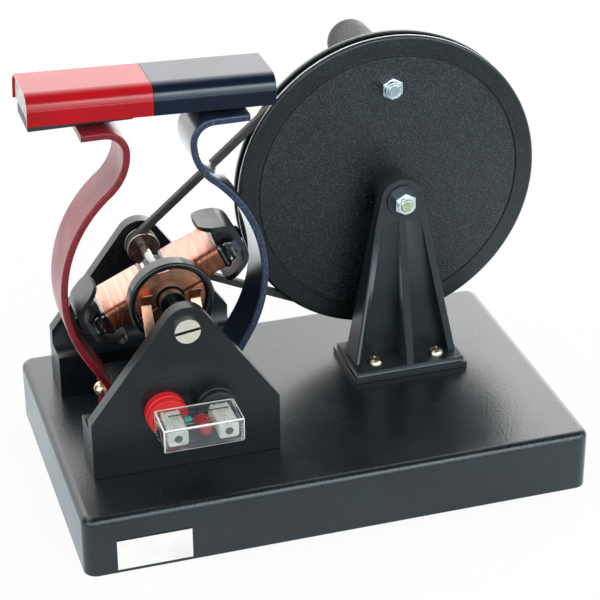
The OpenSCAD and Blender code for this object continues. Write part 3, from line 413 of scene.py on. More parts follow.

# %% [markdown]
# ### Metals
# Nickel plate on the slotted screws, bright zinc on the nuts, zinc with a yellow passivation on the
# screw heads and an olive one on the axle, blued steel on the shaft, and copper everywhere that
# current runs. The wire is copper under a clear varnish; the brushes and the commutator are bare
# sheet with fine scratches. The slots of the bearing screws carry a painted shade, dark brown.

# %% Metals
METAL = {"Metallic": 1.0}
nickel = finish("nickel_plate", ("#fff0dc", "#f2e2cb"), (0.24, 0.38), patch=3, relief=0.004, **METAL)
zinc = finish(
    "yellow_passivated_zinc", ("#d8c79a", "#c9c2b4"), (0.2, 0.36), patch=2, relief=0.006, **METAL
)
bright_zinc = finish(
    "bright_zinc_plate", ("#eaf1f3", "#cfd7da"), (0.12, 0.24), patch=2, relief=0.004, **METAL
)
olive_zinc = finish(
    "olive_passivated_zinc", ("#d3d6b4", "#b5ba96"), (0.2, 0.34), patch=1.5, relief=0.006, **METAL
)
turned_steel = finish("turned_steel", ("#b5a196", "#94837a"), (0.18, 0.32), patch=3, relief=0.004, **METAL)
# A dark brown for the inside of a bearing screw's slot: a painted shade.
slot_shade_paint = finish("painted_slot_shade", ("#3a332c", "#241f1b"), (0.6, 0.8), patch=1, relief=0.01, IOR=1.4)
dark_steel = finish("blued_steel", ("#6b6259", "#4f4a46"), (0.2, 0.36), patch=3, relief=0.004, **METAL)
tinned = finish("tinned_wire", ("#dfdfdc", "#c9c9c6"), (0.2, 0.32), patch=1.5, relief=0.004, **METAL)
brass = finish("turned_brass", ("#c9a65b", "#b18e48"), (0.25, 0.4), patch=3, relief=0.004, **METAL)
core_iron = finish(
    "grey_soft_iron", ("#5a5f64", "#474b50"), (0.4, 0.55), patch=4, grain=0.8, relief=0.02, **METAL
)
ferrite = finish(
    "ground_magnet_face", ("#c6c7c3", "#aeb0ad"), (0.42, 0.6), patch=5, grain=0.7, relief=0.02
)
pad_steel = finish(
    "dark_phosphated_steel", ("#2a2d30", "#1d2023"), (0.45, 0.6), patch=4, grain=0.8, relief=0.02
)
wire_copper = finish(
    "varnished_copper_wire", ("#dea695", "#c98d79"), (0.16, 0.3), patch=0.9,
    stretch=(1, 0.06, 0.06), Coat_Weight=0.5, Coat_Roughness=0.12, **METAL,
)
# A deeper copper for the coils' sides toward the commutator: a painted shade.
shade_copper_paint = finish(
    "painted_shade_copper_wire", ("#b97054", "#8c4f39"), (0.2, 0.34), patch=0.9, stretch=(1, 0.06, 0.06),
    Coat_Weight=0.2, Coat_Roughness=0.2, **METAL,
)
sheet_copper = finish(
    "bare_copper_sheet", ("#dca488", "#c98c70"), (0.26, 0.42), patch=2.5, relief=0.006, **METAL
)

# %% [markdown]
# ### Clear and tinted plastics
# The indicator's case is cut from clear acrylic and its lamp is cast in red epoxy. Both are full
# of light, so they need transmission, and the acrylic keeps nearly mirror-smooth faces. A clear sheet
# casts no shadow worth the name, so it steps aside for the rays that look for lamps.

# %% Clear and tinted plastics
acrylic = finish(
    "cut_clear_acrylic", ("#fbfdfd", "#f3f8f8"), (0.01, 0.05), patch=9, grain=2.0, IOR=1.49,
    Transmission_Weight=1.0,
)
tree = acrylic.node_tree
shade = add(tree, "ShaderNodeLightPath").outputs["Is Shadow Ray"]
solid = add(tree, "ShaderNodeMath", {0: 1.0, 1: shade}, operation="SUBTRACT")
feed(tree, tree.nodes["Principled BSDF"], {"Alpha": solid})
frosted_edge = finish(
    "sawn_acrylic_edge", ("#fbfdfd", "#eaf0f0"), (0.3, 0.5), patch=2, relief=0.01, IOR=1.49,
    Transmission_Weight=0.1,
)
red_epoxy = finish(
    "cast_red_epoxy", ("#c81028", "#a00c20"), (0.04, 0.1), patch=3, grain=0.8, IOR=1.54,
    Transmission_Weight=0.25,
)
teal_lacquer = finish(
    "teal_bead_lacquer", ("#25c4a8", "#1aa38c"), (0.16, 0.3), patch=1.5, relief=0.01, IOR=1.5
)
print("finishes so far:", len(bpy.data.materials))

# %% [markdown]
# ### The drive wheel's two textures
# The wheel is one black moulding, but its face has a coarse leathery grain out to a thin groove and
# a smoother band beyond it. The distance from the axle decides which of the two a point belongs to.

# %% Grained wheel face
WHEEL_AT = Vector((43.05, 23.65, 97.0))
WHEEL_GROOVE = 54.4
GROOVE_HALF = 0.3
LEATHER = 0.5
LEATHER_DEEP = 0.16
wheel_abs = finish(
    "grained_black_abs", ("#060a0c", "#0b1113"), (0.26, 0.36), patch=20, grain=1.0, IOR=1.46
)
tree = wheel_abs.node_tree
radius = about_axis(tree, WHEEL_AT)[1]
start, end = ((WHEEL_GROOVE + side) * MM for side in (-GROOVE_HALF, GROOVE_HALF))
inside = add(tree, "ShaderNodeMapRange", {0: radius, 1: start, 2: end, 3: 1.0, 4: 0.4})
place = add(tree, "ShaderNodeTexCoord").outputs["Object"]
grains = {"Vector": place, "Scale": 1 / (LEATHER * MM), "Detail": 2.0}
leather = add(tree, "ShaderNodeTexNoise", grains)
ripple = {"Strength": inside, "Distance": LEATHER_DEEP * MM, "Height": leather}
bump = add(tree, "ShaderNodeBump", ripple)
feed(tree, tree.nodes["Principled BSDF"], {"Normal": bump})
# The peaks of the leather grain are painted paler, most of all inside the groove: painted glints.
peaks = add(tree, "ShaderNodeMapRange", {0: leather, 1: 0.5, 2: 0.72, 4: 0.6})
painted_glints = add(tree, "ShaderNodeMath", {0: peaks, 1: inside}, operation="MULTIPLY")
overlaid(wheel_abs, painted_glints, "#5b6163")
print("leather grain out to", WHEEL_GROOVE, "mm from the axle")

# %% [markdown]
# ### Copper that has been run
# Brushes drag on the commutator, so its copper is scratched in circles about the shaft. A noise that
# reads the radius closely and the angle loosely draws such rings.

# %% Commutator rings
SHAFT_AT = Vector((-58.05, -4.35, 83.0))
RING_PITCH = 0.45
RING_DEEP = 0.01
ring_copper = finish("brush_worn_copper", ("#e8ab8d", "#d08e6f"), (0.3, 0.45), patch=3, **METAL)
tree = ring_copper.node_tree
flat, radius = about_axis(tree, SHAFT_AT)
spread = add(tree, "ShaderNodeVectorMath", {0: flat, "Scale": 60.0}, operation="SCALE")
rings = add(tree, "ShaderNodeMath", {0: radius, 1: 1 / (RING_PITCH * MM)}, operation="MULTIPLY")
spots = {"Vector": spread, "W": rings, "Scale": 1.0, "Detail": 3.0}
scratches = add(tree, "ShaderNodeTexNoise", spots, noise_dimensions="4D")
worn = add(tree, "ShaderNodeMapRange", {0: scratches, 1: 0.4, 2: 0.65, 4: 0.7})
overlaid(ring_copper, worn, "#b3755a")
ripple = {"Strength": 1.0, "Distance": RING_DEEP * MM, "Height": scratches}
bump = add(tree, "ShaderNodeBump", ripple)
feed(tree, tree.nodes["Principled BSDF"], {"Normal": bump})
print("rings every", RING_PITCH, "mm, finishes:", len(bpy.data.materials))

# %% [markdown]
# ## Building pieces
# A moulding never has a knife edge, and it is the small roll along an edge that catches the light.
# A copy of a solid, with its loose triangles merged and its sharp edges rolled, gives that roll at
# its real place. Normals weighted by face area keep the flats flat. Turned and swept pieces are
# skins drawn over rings of points, because a ring can have as many points as the curve needs.

# %% Helpers for pieces
SMOOTH_UP_TO = 40


def settled(name, mesh):
    """The mesh with normals that follow its larger faces."""
    mesh.shade_smooth()
    mesh.set_sharp_from_angle(angle=math.radians(SMOOTH_UP_TO))
    draft = bpy.data.objects.new(name, mesh)
    scene.collection.objects.link(draft)
    weigh = draft.modifiers.new("weigh", "WEIGHTED_NORMAL")
    weigh.keep_sharp = True
    graph = bpy.context.evaluated_depsgraph_get()
    done = bpy.data.meshes.new_from_object(draft.evaluated_get(graph))
    bpy.data.objects.remove(draft)
    done.name = name
    return done


def piece(name, mesh, body, slot, *replaced):
    obj = bpy.data.objects.new(name, mesh)
    scene.collection.objects.link(obj)
    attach(obj, body)
    if replaced:
        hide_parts(*replaced)
    print(name, "faces:", len(mesh.polygons))
    return obj


def rolled(node, roll, material, edge=None, steps=2):
    """A copy of a solid whose sharp edges are rolled by a radius in millimetres."""
    mesh = nodes[node].data.copy()
    mesh.materials.clear()
    mesh.materials.append(material)
    mesh.materials.append(edge or material)
    form = bmesh.new()
    form.from_mesh(mesh)
    for face in form.faces:
        face.material_index = 0
    bmesh.ops.remove_doubles(form, verts=form.verts, dist=2e-6)
    bmesh.ops.dissolve_limit(form, angle_limit=math.radians(1), verts=form.verts, edges=form.edges)
    sharp = [e for e in form.edges if e.is_manifold and e.calc_face_angle() > math.radians(32)]
    if edge:
        sharp = [e for e in sharp if e.is_convex]
    bmesh.ops.bevel(
        form, geom=sharp, offset=roll * MM, offset_type="OFFSET", segments=steps, profile=0.5,
        affect="EDGES", clamp_overlap=True, material=1,
    )
    form.to_mesh(mesh)
    form.free()
    return piece(node + "_rolled", settled(node, mesh), BODY_OF[node], SLOT_OF[node], node)


def skin(name, points, faces, material):
    """A closed mesh from points in millimetres, with its seams merged and its faces outwards."""
    mesh = bpy.data.meshes.new(name)
    mesh.from_pydata([Vector(p) * MM for p in points], [], faces)
    form = bmesh.new()
    form.from_mesh(mesh)
    bmesh.ops.remove_doubles(form, verts=form.verts, dist=1e-6)
    bmesh.ops.dissolve_degenerate(form, edges=form.edges, dist=1e-7)
    bmesh.ops.recalc_face_normals(form, faces=form.faces)
    form.to_mesh(mesh)
    form.free()
    mesh.materials.append(material)
    return settled(name, mesh)


def ring_skin(name, rings, material, closed=False):
    """A skin over rings of equally many points, capped at its ends unless it closes on itself."""
    count = len(rings[0])
    faces = []
    for i in range(len(rings) if closed else len(rings) - 1):
        a = i * count
        b = (i + 1) % len(rings) * count
        faces += [(a + j, a + (j + 1) % count, b + (j + 1) % count, b + j) for j in range(count)]
    if not closed:
        last = (len(rings) - 1) * count
        faces += [tuple(range(count)), tuple(range(last, last + count))]
    return skin(name, [p for ring in rings for p in ring], faces, material)


def joined(name, meshes, material):
    """Several meshes as one."""
    form = bmesh.new()
    for mesh in meshes:
        form.from_mesh(mesh)
    whole = bpy.data.meshes.new(name)
    form.to_mesh(whole)
    form.free()
    whole.materials.append(material)
    return whole


def refaced(mesh, material, chosen):
    """Gives the faces that a test chooses a finish of their own."""
    mesh.materials.append(material)
    for face in mesh.polygons:
        if chosen(face):
            face.material_index = len(mesh.materials) - 1


def arc(centre, radius, start, end, steps):
    """Points on an arc, with angles in degrees."""
    turns = [math.radians(start + (end - start) * i / steps) for i in range(steps + 1)]
    return [(centre[0] + radius * math.cos(a), centre[1] + radius * math.sin(a)) for a in turns]


def lathe(name, profile, axis, material, steps=160):
    """Turns a closed profile of (radius, y) in millimetres about an axis along y through a point."""
    rings = []
    for i in range(steps):
        a = 2 * math.pi * i / steps
        rings.append([(axis.x + r * math.cos(a), y, axis.z + r * math.sin(a)) for r, y in profile])
    return ring_skin(name, rings, material, closed=True)


def eased(corners, steps=4):
    """A closed profile from corners of (radius, y, fillet), each corner rounded by its fillet."""
    outline = []
    for i, (x, y, r) in enumerate(corners):
        here = Vector((x, y))
        if not r:
            outline.append((x, y))
            continue
        before = (Vector(corners[i - 1][:2]) - here).normalized()
        after = (Vector(corners[(i + 1) % len(corners)][:2]) - here).normalized()
        reach = r / math.tan(before.angle(after) / 2)
        centre = here + (before + after).normalized() * math.hypot(r, reach)
        start = here + before * reach - centre
        turn = start.angle_signed(here + after * reach - centre)
        for k in range(steps + 1):
            spoke = start.copy()
            spoke.rotate(Matrix.Rotation(-turn * k / steps, 2))
            outline.append(tuple(centre + spoke))
    return outline


# %% [markdown]
# ## Base
# The base is a moulded tray, open below. Its upright corners and its top edge are both rounded, and
# where they meet the corner is a smooth ball. Stacking rounded rectangles that shrink as the edge
# turns over gives exactly that.

# %% Base
BASE_LOW = Vector((-105.55, -73.05))
BASE_SIZE = Vector((200.0, 125.0))
BASE_TOP = 25.0
BASE_CORNER = 5.0
BASE_EDGE = 3.0
BASE_WALL = 3.5
RIM_ROLL = 0.4


def rounded_loop(inset, height):
    low = BASE_LOW + Vector((inset, inset))
    high = BASE_LOW + BASE_SIZE - Vector((inset, inset))
    r = max(BASE_CORNER - inset, 1.0)
    loop = arc((high.x - r, high.y - r), r, 0, 90, 10)
    loop += arc((low.x + r, high.y - r), r, 90, 180, 10)
    loop += arc((low.x + r, low.y + r), r, 180, 270, 10)
    loop += arc((high.x - r, low.y + r), r, 270, 360, 10)
    return [(x, y, height) for x, y in loop]


levels = [
    (BASE_WALL, BASE_TOP - BASE_WALL),
    (BASE_WALL, RIM_ROLL),
    (BASE_WALL - RIM_ROLL, 0.0),
    (RIM_ROLL, 0.0),
    (0.0, RIM_ROLL),
]
levels += arc((BASE_EDGE, BASE_TOP - BASE_EDGE), BASE_EDGE, 180, 90, 8)
tray = ring_skin("base_tray", [rounded_loop(*level) for level in levels], black_abs)
piece("base_tray", tray, "frame", "black_plastic", "base")

# %% [markdown]
# ## Mouldings, supports and stand
# These keep the shapes of their solids, with every edge rolled. The supports have a roll of just over
# half a millimetre, the ribbed stand a smaller one, and the blank label hardly any.

# %% Supports, stand and block
for node in ("front_support", "rear_support"):
    rolled(node, 0.6, gable_abs, polished_abs, steps=3)
rolled("wheel_stand", 0.5, stand_abs, polished_abs)
rolled("pole_block", 0.5, black_abs, polished_abs)
rolled("label", 0.1, label_paper)
rolled("socket_red", 0.5, red_pvc, steps=3)
rolled("socket_black", 0.5, black_pvc, steps=3)

# %% [markdown]
# ## Pole strips
# A strip is a flat steel bar bent into an upright foot, a bow, a neck and a tab that carries the
# magnet. Its middle line is four arcs and three straights, one running smoothly into the next. The
# bar's section has rounded edges, so it is swept along that line as a ring of points.

# %% Pole strips
STRIP_WIDE = 20.0
STRIP_THICK = 2.7
STRIP_EDGE = 0.7
EDGEWISE = 0.35
STRIP_MID_Y = -6.85
BOW_AT = Vector((14.435, 2.5))
BOW_R = 53.2
BOW_UP = 50
BOW_DOWN = 30
NECK_R = 20.2
TAB_R = 8.0
RED_TAB = 8.5
NAVY_TAB = 13.5
FOOT_RUN = 14.2
FOOT_BEND = 6.0
FOOT_DROP = 16.0


def strip_line(tab_long):
    bow = arc(BOW_AT, BOW_R, 180 - BOW_UP, 180 + BOW_DOWN, 44)
    lean = math.radians(90 - BOW_UP)
    neck_at = Vector(bow[0]) + NECK_R * Vector((-math.sin(lean), math.cos(lean)))
    tab_at = neck_at + Vector((NECK_R - TAB_R, 0))
    neck = arc(neck_at, NECK_R, 0, -BOW_UP, 22)
    tab = arc(tab_at, TAB_R, 90, 0, 16)
    slope = math.radians(BOW_DOWN)
    run_end = Vector(bow[-1]) + FOOT_RUN * Vector((math.sin(slope), -math.cos(slope)))
    bend_at = run_end - FOOT_BEND * Vector((math.cos(slope), math.sin(slope)))
    bend = arc(bend_at, FOOT_BEND, BOW_DOWN, 0, 8)
    start = (tab[0][0] - tab_long, tab[0][1])
    end = (bend[-1][0], bend[-1][1] - FOOT_DROP)
    return [Vector(p) for p in [start] + tab + neck[1:] + bow[1:] + bend + [end]]


def bar_section(wide, thick, edge):
    corners = [(-1, 1, 90), (-1, -1, 180), (1, -1, 270), (1, 1, 0)]
    loop = []
    for side, face, start in corners:
        centre = (side * (wide / 2 - edge), face * (thick / 2 - edge))
        loop += arc(centre, edge, start, start + 90, 3)
    return loop


def swept(line, section, place, closed=False):
    """Rings of a section (across, off the line) along a line, each put in place by a function."""
    rings = []
    for i, here in enumerate(line):
        if closed:
            ahead = line[(i + 1) % len(line)] - line[i - 1]
        else:
            ahead = line[min(i + 1, len(line) - 1)] - line[max(i - 1, 0)]
        side = Vector((-ahead.y, ahead.x)).normalized()
        rings.append([place(here + side * off, across) for across, off in section])
    return rings


def strip(name, mirror, tab_long, material, edge, node):
    section = bar_section(STRIP_WIDE, STRIP_THICK, STRIP_EDGE)
    rings = swept(
        strip_line(tab_long),
        section,
        lambda p, across: (SHAFT_AT.x + mirror * p.x, STRIP_MID_Y + across, SHAFT_AT.z + p.y),
    )
    mesh = ring_skin(name, rings, material)
    refaced(mesh, edge, lambda face: abs(face.normal.y) > EDGEWISE or len(face.vertices) > 4)
    piece(name, mesh, "frame", SLOT_OF[node], node)


strip("red_pole_strip", 1, RED_TAB, red_enamel, red_edge, "pole_strip_red")
strip("navy_pole_strip", -1, NAVY_TAB, navy_enamel, navy_edge, "pole_strip_blue")

# %% [markdown]
# ## Bar magnet
# Two folded covers, one red and one navy, sit over a pale ground bar. The fold is round on the long
# edges and the cut ends show the thickness of the sheet. Dark pads lie between the bar and the tabs.

# %% Bar magnet
rolled("magnet_cover_red", 0.18, red_gloss)
rolled("magnet_cover_blue", 0.18, navy_gloss)
rolled("magnet_core", 0.3, ferrite)
rolled("magnet_pads", 0.4, pad_steel)

# %% [markdown]
# ## Drive wheel and crank
# The wheel was turned true in its mould, so a lathe is the natural way to draw it: a hub, a flat
# face with one thin groove, and a rim with the belt's channel. The channel's front edge is painted
# pale: a painted highlight, the bright line that runs round it.

# %% Drive wheel
WHEEL_R = 62.5
WHEEL_FRONT = WHEEL_AT.y - 4.0
WHEEL_BACK = WHEEL_AT.y + 4.0
HUB_FRONT = WHEEL_FRONT - 9.9
HUB_R = 7.5
BORE_R = 3.55
CHANNEL = 1.8
CHANNEL_R = 57.7
HIGHLIGHT_BAND = 1.0
profile = eased(
    [
        (BORE_R, HUB_FRONT, 0),
        (HUB_R, HUB_FRONT, 0.6),
        (HUB_R, WHEEL_FRONT, 0),
        (WHEEL_GROOVE - 0.6, WHEEL_FRONT, 0.25),
        (WHEEL_GROOVE - 0.4, WHEEL_FRONT + 0.5, 0),
        (WHEEL_GROOVE + 0.4, WHEEL_FRONT + 0.5, 0),
        (WHEEL_GROOVE + 0.6, WHEEL_FRONT, 0.25),
        (WHEEL_R, WHEEL_FRONT, 1.2),
        (WHEEL_R, WHEEL_AT.y - CHANNEL, 0.5),
        (CHANNEL_R, WHEEL_AT.y - CHANNEL, 0),
        (CHANNEL_R, WHEEL_AT.y + CHANNEL, 0),
        (WHEEL_R, WHEEL_AT.y + CHANNEL, 0.5),
        (WHEEL_R, WHEEL_BACK, 0.7),
        (BORE_R, WHEEL_BACK, 0),
    ]
)


# The band of faces along the channel's front edge that carries the painted highlight.
def in_painted_highlight(face):
    spot = face.center / MM - WHEEL_AT
    return math.hypot(spot.x, spot.z) > WHEEL_R - HIGHLIGHT_BAND and abs(spot.y + CHANNEL) < HIGHLIGHT_BAND


wheel = lathe("wheel", profile, WHEEL_AT, wheel_abs, 240)
refaced(wheel, rim_highlight_paint, in_painted_highlight)
piece("wheel", wheel, "wheel", "wheel_plastic", "drive_wheel")

# %% [markdown]
# The crank handle turns on its bolt, whose head is sunk in the handle's end.

# %% Crank handle
CRANK_AT = Vector((43.05, 0, 139.0))
GRIP_FRONT = 28.65
GRIP_BACK = 73.65
GRIP_R = 9.3
GRIP_BORE_R = 3.1
SINK_R = 5.35
SINK_DEEP = 4.5
profile = eased(
    [
        (GRIP_BORE_R, GRIP_FRONT, 0),
        (GRIP_R, GRIP_FRONT, 1.0),
        (GRIP_R, GRIP_BACK, 3.0),
        (SINK_R, GRIP_BACK, 0.6),
        (SINK_R, GRIP_BACK - SINK_DEEP, 0),
        (GRIP_BORE_R, GRIP_BACK - SINK_DEEP, 0),
    ],
    steps=6,
)
piece("crank_grip", lathe("grip", profile, CRANK_AT, grip_abs, 72), "handle", "grip", "handle_grip")

# %% [markdown]
# ## Belt
# The belt is a square rubber cord, joined into a loop. Its line is two arcs, one round the pulley and
# one round the wheel, and the two tangents between them.

# %% Belt
BELT_SMALL = 4.8
BELT_LARGE = 59.5
BELT_SIDE = 3.0
BELT_EDGE = 0.45
BELT_Y = 23.65
apart = Vector((WHEEL_AT.x - SHAFT_AT.x, WHEEL_AT.z - SHAFT_AT.z))
lean = math.degrees(math.atan2(apart.y, apart.x))
touch = math.degrees(math.acos((BELT_SMALL - BELT_LARGE) / apart.length))
line = [Vector(p) for p in arc((0, 0), BELT_SMALL, lean + touch, lean - touch + 360, 24)]
line += [Vector(p) for p in arc(apart, BELT_LARGE, lean - touch, lean + touch, 120)]
rings = swept(
    line,
    bar_section(BELT_SIDE, BELT_SIDE, BELT_EDGE),
    lambda p, across: (SHAFT_AT.x + p.x, BELT_Y + across, SHAFT_AT.z + p.y),
    closed=True,
)
piece("belt_loop", ring_skin("belt", rings, belt_rubber, closed=True), "frame", "belt", "drive_belt")

# %% [markdown]
# ## Coils
# Each coil is one long copper wire laid close round a flat former. Geometry Nodes can follow that
# rule as it stands: a line of points is bent round a squared-off oval, moves along the arm by one
# wire for each turn, and takes a round section. A little slack, fixed by the noise, keeps the turns
# from looking machined. The same tree makes the few turns that lead from a coil to the commutator. The
# sides that face the commutator carry a painted shade: a deeper copper.

# %% Geometry Nodes helpers


def node_group(name, kinds):
    tree = bpy.data.node_groups.new(name, "GeometryNodeTree")
    tree.interface.new_socket("Geometry", in_out="INPUT", socket_type="NodeSocketGeometry")
    tree.interface.new_socket("Geometry", in_out="OUTPUT", socket_type="NodeSocketGeometry")
    for title, kind in kinds.items():
        tree.interface.new_socket(title, in_out="INPUT", socket_type="NodeSocket" + kind)
    sources = tree.nodes.new("NodeGroupInput").outputs
    result = tree.nodes.new("NodeGroupOutput")
    return tree, sources, result


def grown(tree, start, values):
    """The plain mesh that a tree makes from a starting mesh and its named sizes."""
    draft = bpy.data.objects.new(tree.name, start)
    scene.collection.objects.link(draft)
    grow = draft.modifiers.new("grow", "NODES")
    grow.node_group = tree
    for item in tree.interface.items_tree:
        if item.in_out == "INPUT" and item.name in values:
            grow[item.identifier] = values[item.name]
    graph = bpy.context.evaluated_depsgraph_get()
    mesh = bpy.data.meshes.new_from_object(draft.evaluated_get(graph))
    bpy.data.objects.remove(draft)
    return mesh


# %% The winding tree
numbers = ("Turns", "Points", "Length", "Half Width", "Half Height", "Squareness", "Slack", "Wire")
kinds = {**dict.fromkeys(numbers, "Float"), "Finish": "Material"}
winding, sizes, result = node_group("wound_wire", kinds)
index = add(winding, "GeometryNodeInputIndex")
spots = add(winding, "ShaderNodeMath", {0: sizes["Turns"], 1: sizes["Points"]}, operation="MULTIPLY")
along = add(winding, "ShaderNodeMath", {0: index, 1: spots}, operation="DIVIDE")
turn = add(winding, "ShaderNodeMath", {0: index, 1: sizes["Points"]}, operation="DIVIDE")
angle = add(winding, "ShaderNodeMath", {0: turn, 1: 2 * math.pi}, operation="MULTIPLY")
loops = {"W": turn, "Scale": 1.7, "Detail": 1.0}
wander = add(winding, "ShaderNodeTexNoise", loops, noise_dimensions="1D")
slack = add(winding, "ShaderNodeMath", {0: wander, 1: sizes["Slack"]}, operation="MULTIPLY")
places = []
for wave, reach in (("COSINE", "Half Width"), ("SINE", "Half Height")):
    swing = add(winding, "ShaderNodeMath", {0: angle}, operation=wave)
    size = add(winding, "ShaderNodeMath", {0: swing}, operation="ABSOLUTE")
    bent = add(winding, "ShaderNodeMath", {0: size, 1: sizes["Squareness"]}, operation="POWER")
    sense = add(winding, "ShaderNodeMath", {0: swing}, operation="SIGN")
    signed = add(winding, "ShaderNodeMath", {0: bent, 1: sense}, operation="MULTIPLY")
    loose = add(winding, "ShaderNodeMath", {0: sizes[reach], 1: slack}, operation="ADD")
    places.append(add(winding, "ShaderNodeMath", {0: signed, 1: loose}, operation="MULTIPLY"))
shift = add(winding, "ShaderNodeMath", {0: along, 1: sizes["Length"]}, operation="MULTIPLY")
spot = add(winding, "ShaderNodeCombineXYZ", {0: shift, 1: places[0], 2: places[1]})
dots = add(winding, "GeometryNodeMeshLine", {"Count": spots})
laid = add(winding, "GeometryNodeSetPosition", {0: dots, "Position": spot})
curve = add(winding, "GeometryNodeMeshToCurve", {0: laid})
half_wire = add(winding, "ShaderNodeMath", {0: sizes["Wire"], 1: 0.5}, operation="MULTIPLY")
gauge = add(winding, "GeometryNodeCurvePrimitiveCircle", {"Resolution": 6, "Radius": half_wire})
thread = {"Curve": curve, "Profile Curve": gauge, "Fill Caps": True}
wire = add(winding, "GeometryNodeCurveToMesh", thread)
smooth = add(winding, "GeometryNodeSetShadeSmooth", {0: wire})
real = add(winding, "GeometryNodeRealizeInstances", {0: smooth})
dressed = add(winding, "GeometryNodeSetMaterial", {0: real, "Material": sizes["Finish"]})
feed(winding, result, {"Geometry": dressed})
print("nodes in the winding tree:", len(winding.nodes))

# %% Wind the two coils
ARM_TILT = 25
ARM = Matrix.Translation(SHAFT_AT * MM) @ turned(-ARM_TILT, "Y")
OTHER_END = turned(180, "Y")
COIL_FROM = 5.6
COIL_TO = 24.9
COIL_TURNS = 34
COIL_HALF_WIDTH = 11.1
COIL_HALF_HEIGHT = 4.9
COIL_SHADE_Y = -10.4
POINTS_A_TURN = 40.0
WIRE = 0.56
SLACK = 0.12
OVAL = 2 / 7


def wound(turns, length, half_width, half_height):
    values = {
        "Turns": float(turns),
        "Points": POINTS_A_TURN,
        "Length": length * MM,
        "Half Width": half_width * MM,
        "Half Height": half_height * MM,
        "Squareness": OVAL,
        "Slack": SLACK * MM,
        "Wire": WIRE * MM,
        "Finish": wire_copper,
    }
    return grown(winding, bpy.data.meshes.new("dot"), values)


for node, end in (("coil_right", Matrix.Identity(4)), ("coil_left", OTHER_END)):
    coil = wound(COIL_TURNS, COIL_TO - COIL_FROM, COIL_HALF_WIDTH, COIL_HALF_HEIGHT)
    # The faces on the commutator side of each coil take the painted shade.
    refaced(coil, shade_copper_paint, lambda face: face.center.y < COIL_SHADE_Y * MM)
    coil.transform(ARM @ end @ Matrix.Translation((COIL_FROM * MM, 0, 0)))
    piece(node + "_wire", coil, "armature", "copper", node)

# %% [markdown]
# ## Tape, varnish and leads on the armature
# The inner end of each coil is bound with grey tape, and the outer end was dipped in black varnish
# that set in lumps. Both are rings of the same squared-off oval: even for the tape, and pushed in
# and out by a noise for the varnish. An oval is given by its place along the arm, its half width, its
# half height and how lumpy it is.

# %% Tape and varnish


def oval(x, half_width, half_height, lump=0.0, points=48):
    ring = []
    for i in range(points):
        a = 2 * math.pi * i / points
        y = math.copysign(abs(math.cos(a)) ** OVAL, math.cos(a))
        z = math.copysign(abs(math.sin(a)) ** OVAL, math.sin(a))
        swell = 1 + lump * noise.noise(Vector((x * 0.45, y * 2.1, z * 2.1)))
        ring.append((x, y * half_width * swell, z * half_height * swell))
    return ring


def on_both_ends(name, rings, material, slot, *replaced):
    """The same form on either end of the arm, as one piece."""
    halves = []
    for end in (Matrix.Identity(4), OTHER_END):
        half = ring_skin(name, rings, material)
        half.transform(ARM @ end)
        halves.append(half)
    return piece(name, joined(name, halves, material), "armature", slot, *replaced)


tape_rings = [oval(4.3, 10.6, 4.6), oval(4.4, 11.1, 4.95), oval(5.5, 11.2, 5.05), oval(5.6, 11.0, 4.9)]
on_both_ends("coil_tape", tape_rings, grey_tape, "black_gloss", "coil_flanges")

varnish_sizes = (
    (24.0, 11.2, 5.0), (24.3, 11.5, 5.3, 0.02), (25.0, 11.7, 5.5, 0.05), (25.8, 11.6, 5.6, 0.07),
    (26.6, 11.0, 5.4, 0.1), (27.2, 10.3, 4.9, 0.14), (28.0, 10.0, 4.7, 0.18), (28.8, 9.9, 4.6, 0.2),
    (29.6, 9.5, 4.3, 0.18), (30.5, 9.0, 3.9, 0.12), (31.2, 8.6, 3.5, 0.06),
)
varnish_rings = [oval(*size) for size in varnish_sizes]
on_both_ends("coil_varnish", varnish_rings, dipped_lacquer, "black_gloss")

wrap_rings = [oval(-4.35, 9.2, 4.2), oval(-4.2, 9.5, 4.45), oval(4.2, 9.5, 4.45), oval(4.35, 9.2, 4.2)]
wrap = ring_skin("hub_wrap", wrap_rings, dark_tape)
wrap.transform(ARM)
piece("hub_wrap", wrap, "armature", "black_gloss")

# %% [markdown]
# A white sleeve guards the lead where it crosses the iron hub, and a few turns of bare lead show
# beside the tape. The sleeve is a tube with a real wall, swept along a shallow bow.

# %% Sleeve and leads


def tube(name, path, outer, inner, material, points=20):
    """A tube with a wall along a path of points, in millimetres."""
    walls = []
    for r in (outer, inner):
        rings = []
        for i, here in enumerate(path):
            ahead = (path[min(i + 1, len(path) - 1)] - path[max(i - 1, 0)]).normalized()
            across = ahead.cross(Vector((1, 0, 0.2))).normalized()
            rise = across.cross(ahead)
            spokes = [2 * math.pi * k / points for k in range(points)]
            rings.append([here + r * (math.cos(a) * across + math.sin(a) * rise) for a in spokes])
        walls.append(rings)
    return ring_skin(name, walls[0] + walls[1][::-1], material, closed=True)


SLEEVE_HALF = 10
SLEEVE_BOW = 0.008
SLEEVE_X = 0.6
SLEEVE_TOP = 6.1
SLEEVE_R = 1.35
SLEEVE_BORE_R = 0.75
LEAD_TURNS = 3.4
LEAD_FROM = 2.5
LEAD_LONG = 1.5
LEAD_HALF_WIDTH = 9.75
LEAD_HALF_HEIGHT = 4.7
sleeve_path = []
for y in range(SLEEVE_HALF, -SLEEVE_HALF - 1, -1):
    x = SLEEVE_X + SLEEVE_BOW * (SLEEVE_HALF - y) ** 2
    sleeve_path.append(Vector((x, y, SLEEVE_TOP - SLEEVE_BOW * y * y)))
sleeve = tube("sleeve", sleeve_path, SLEEVE_R, SLEEVE_BORE_R, white_pvc)
sleeve.transform(ARM)
piece("white_sleeve", sleeve, "armature", "white_sleeve", "lead_sleeve")

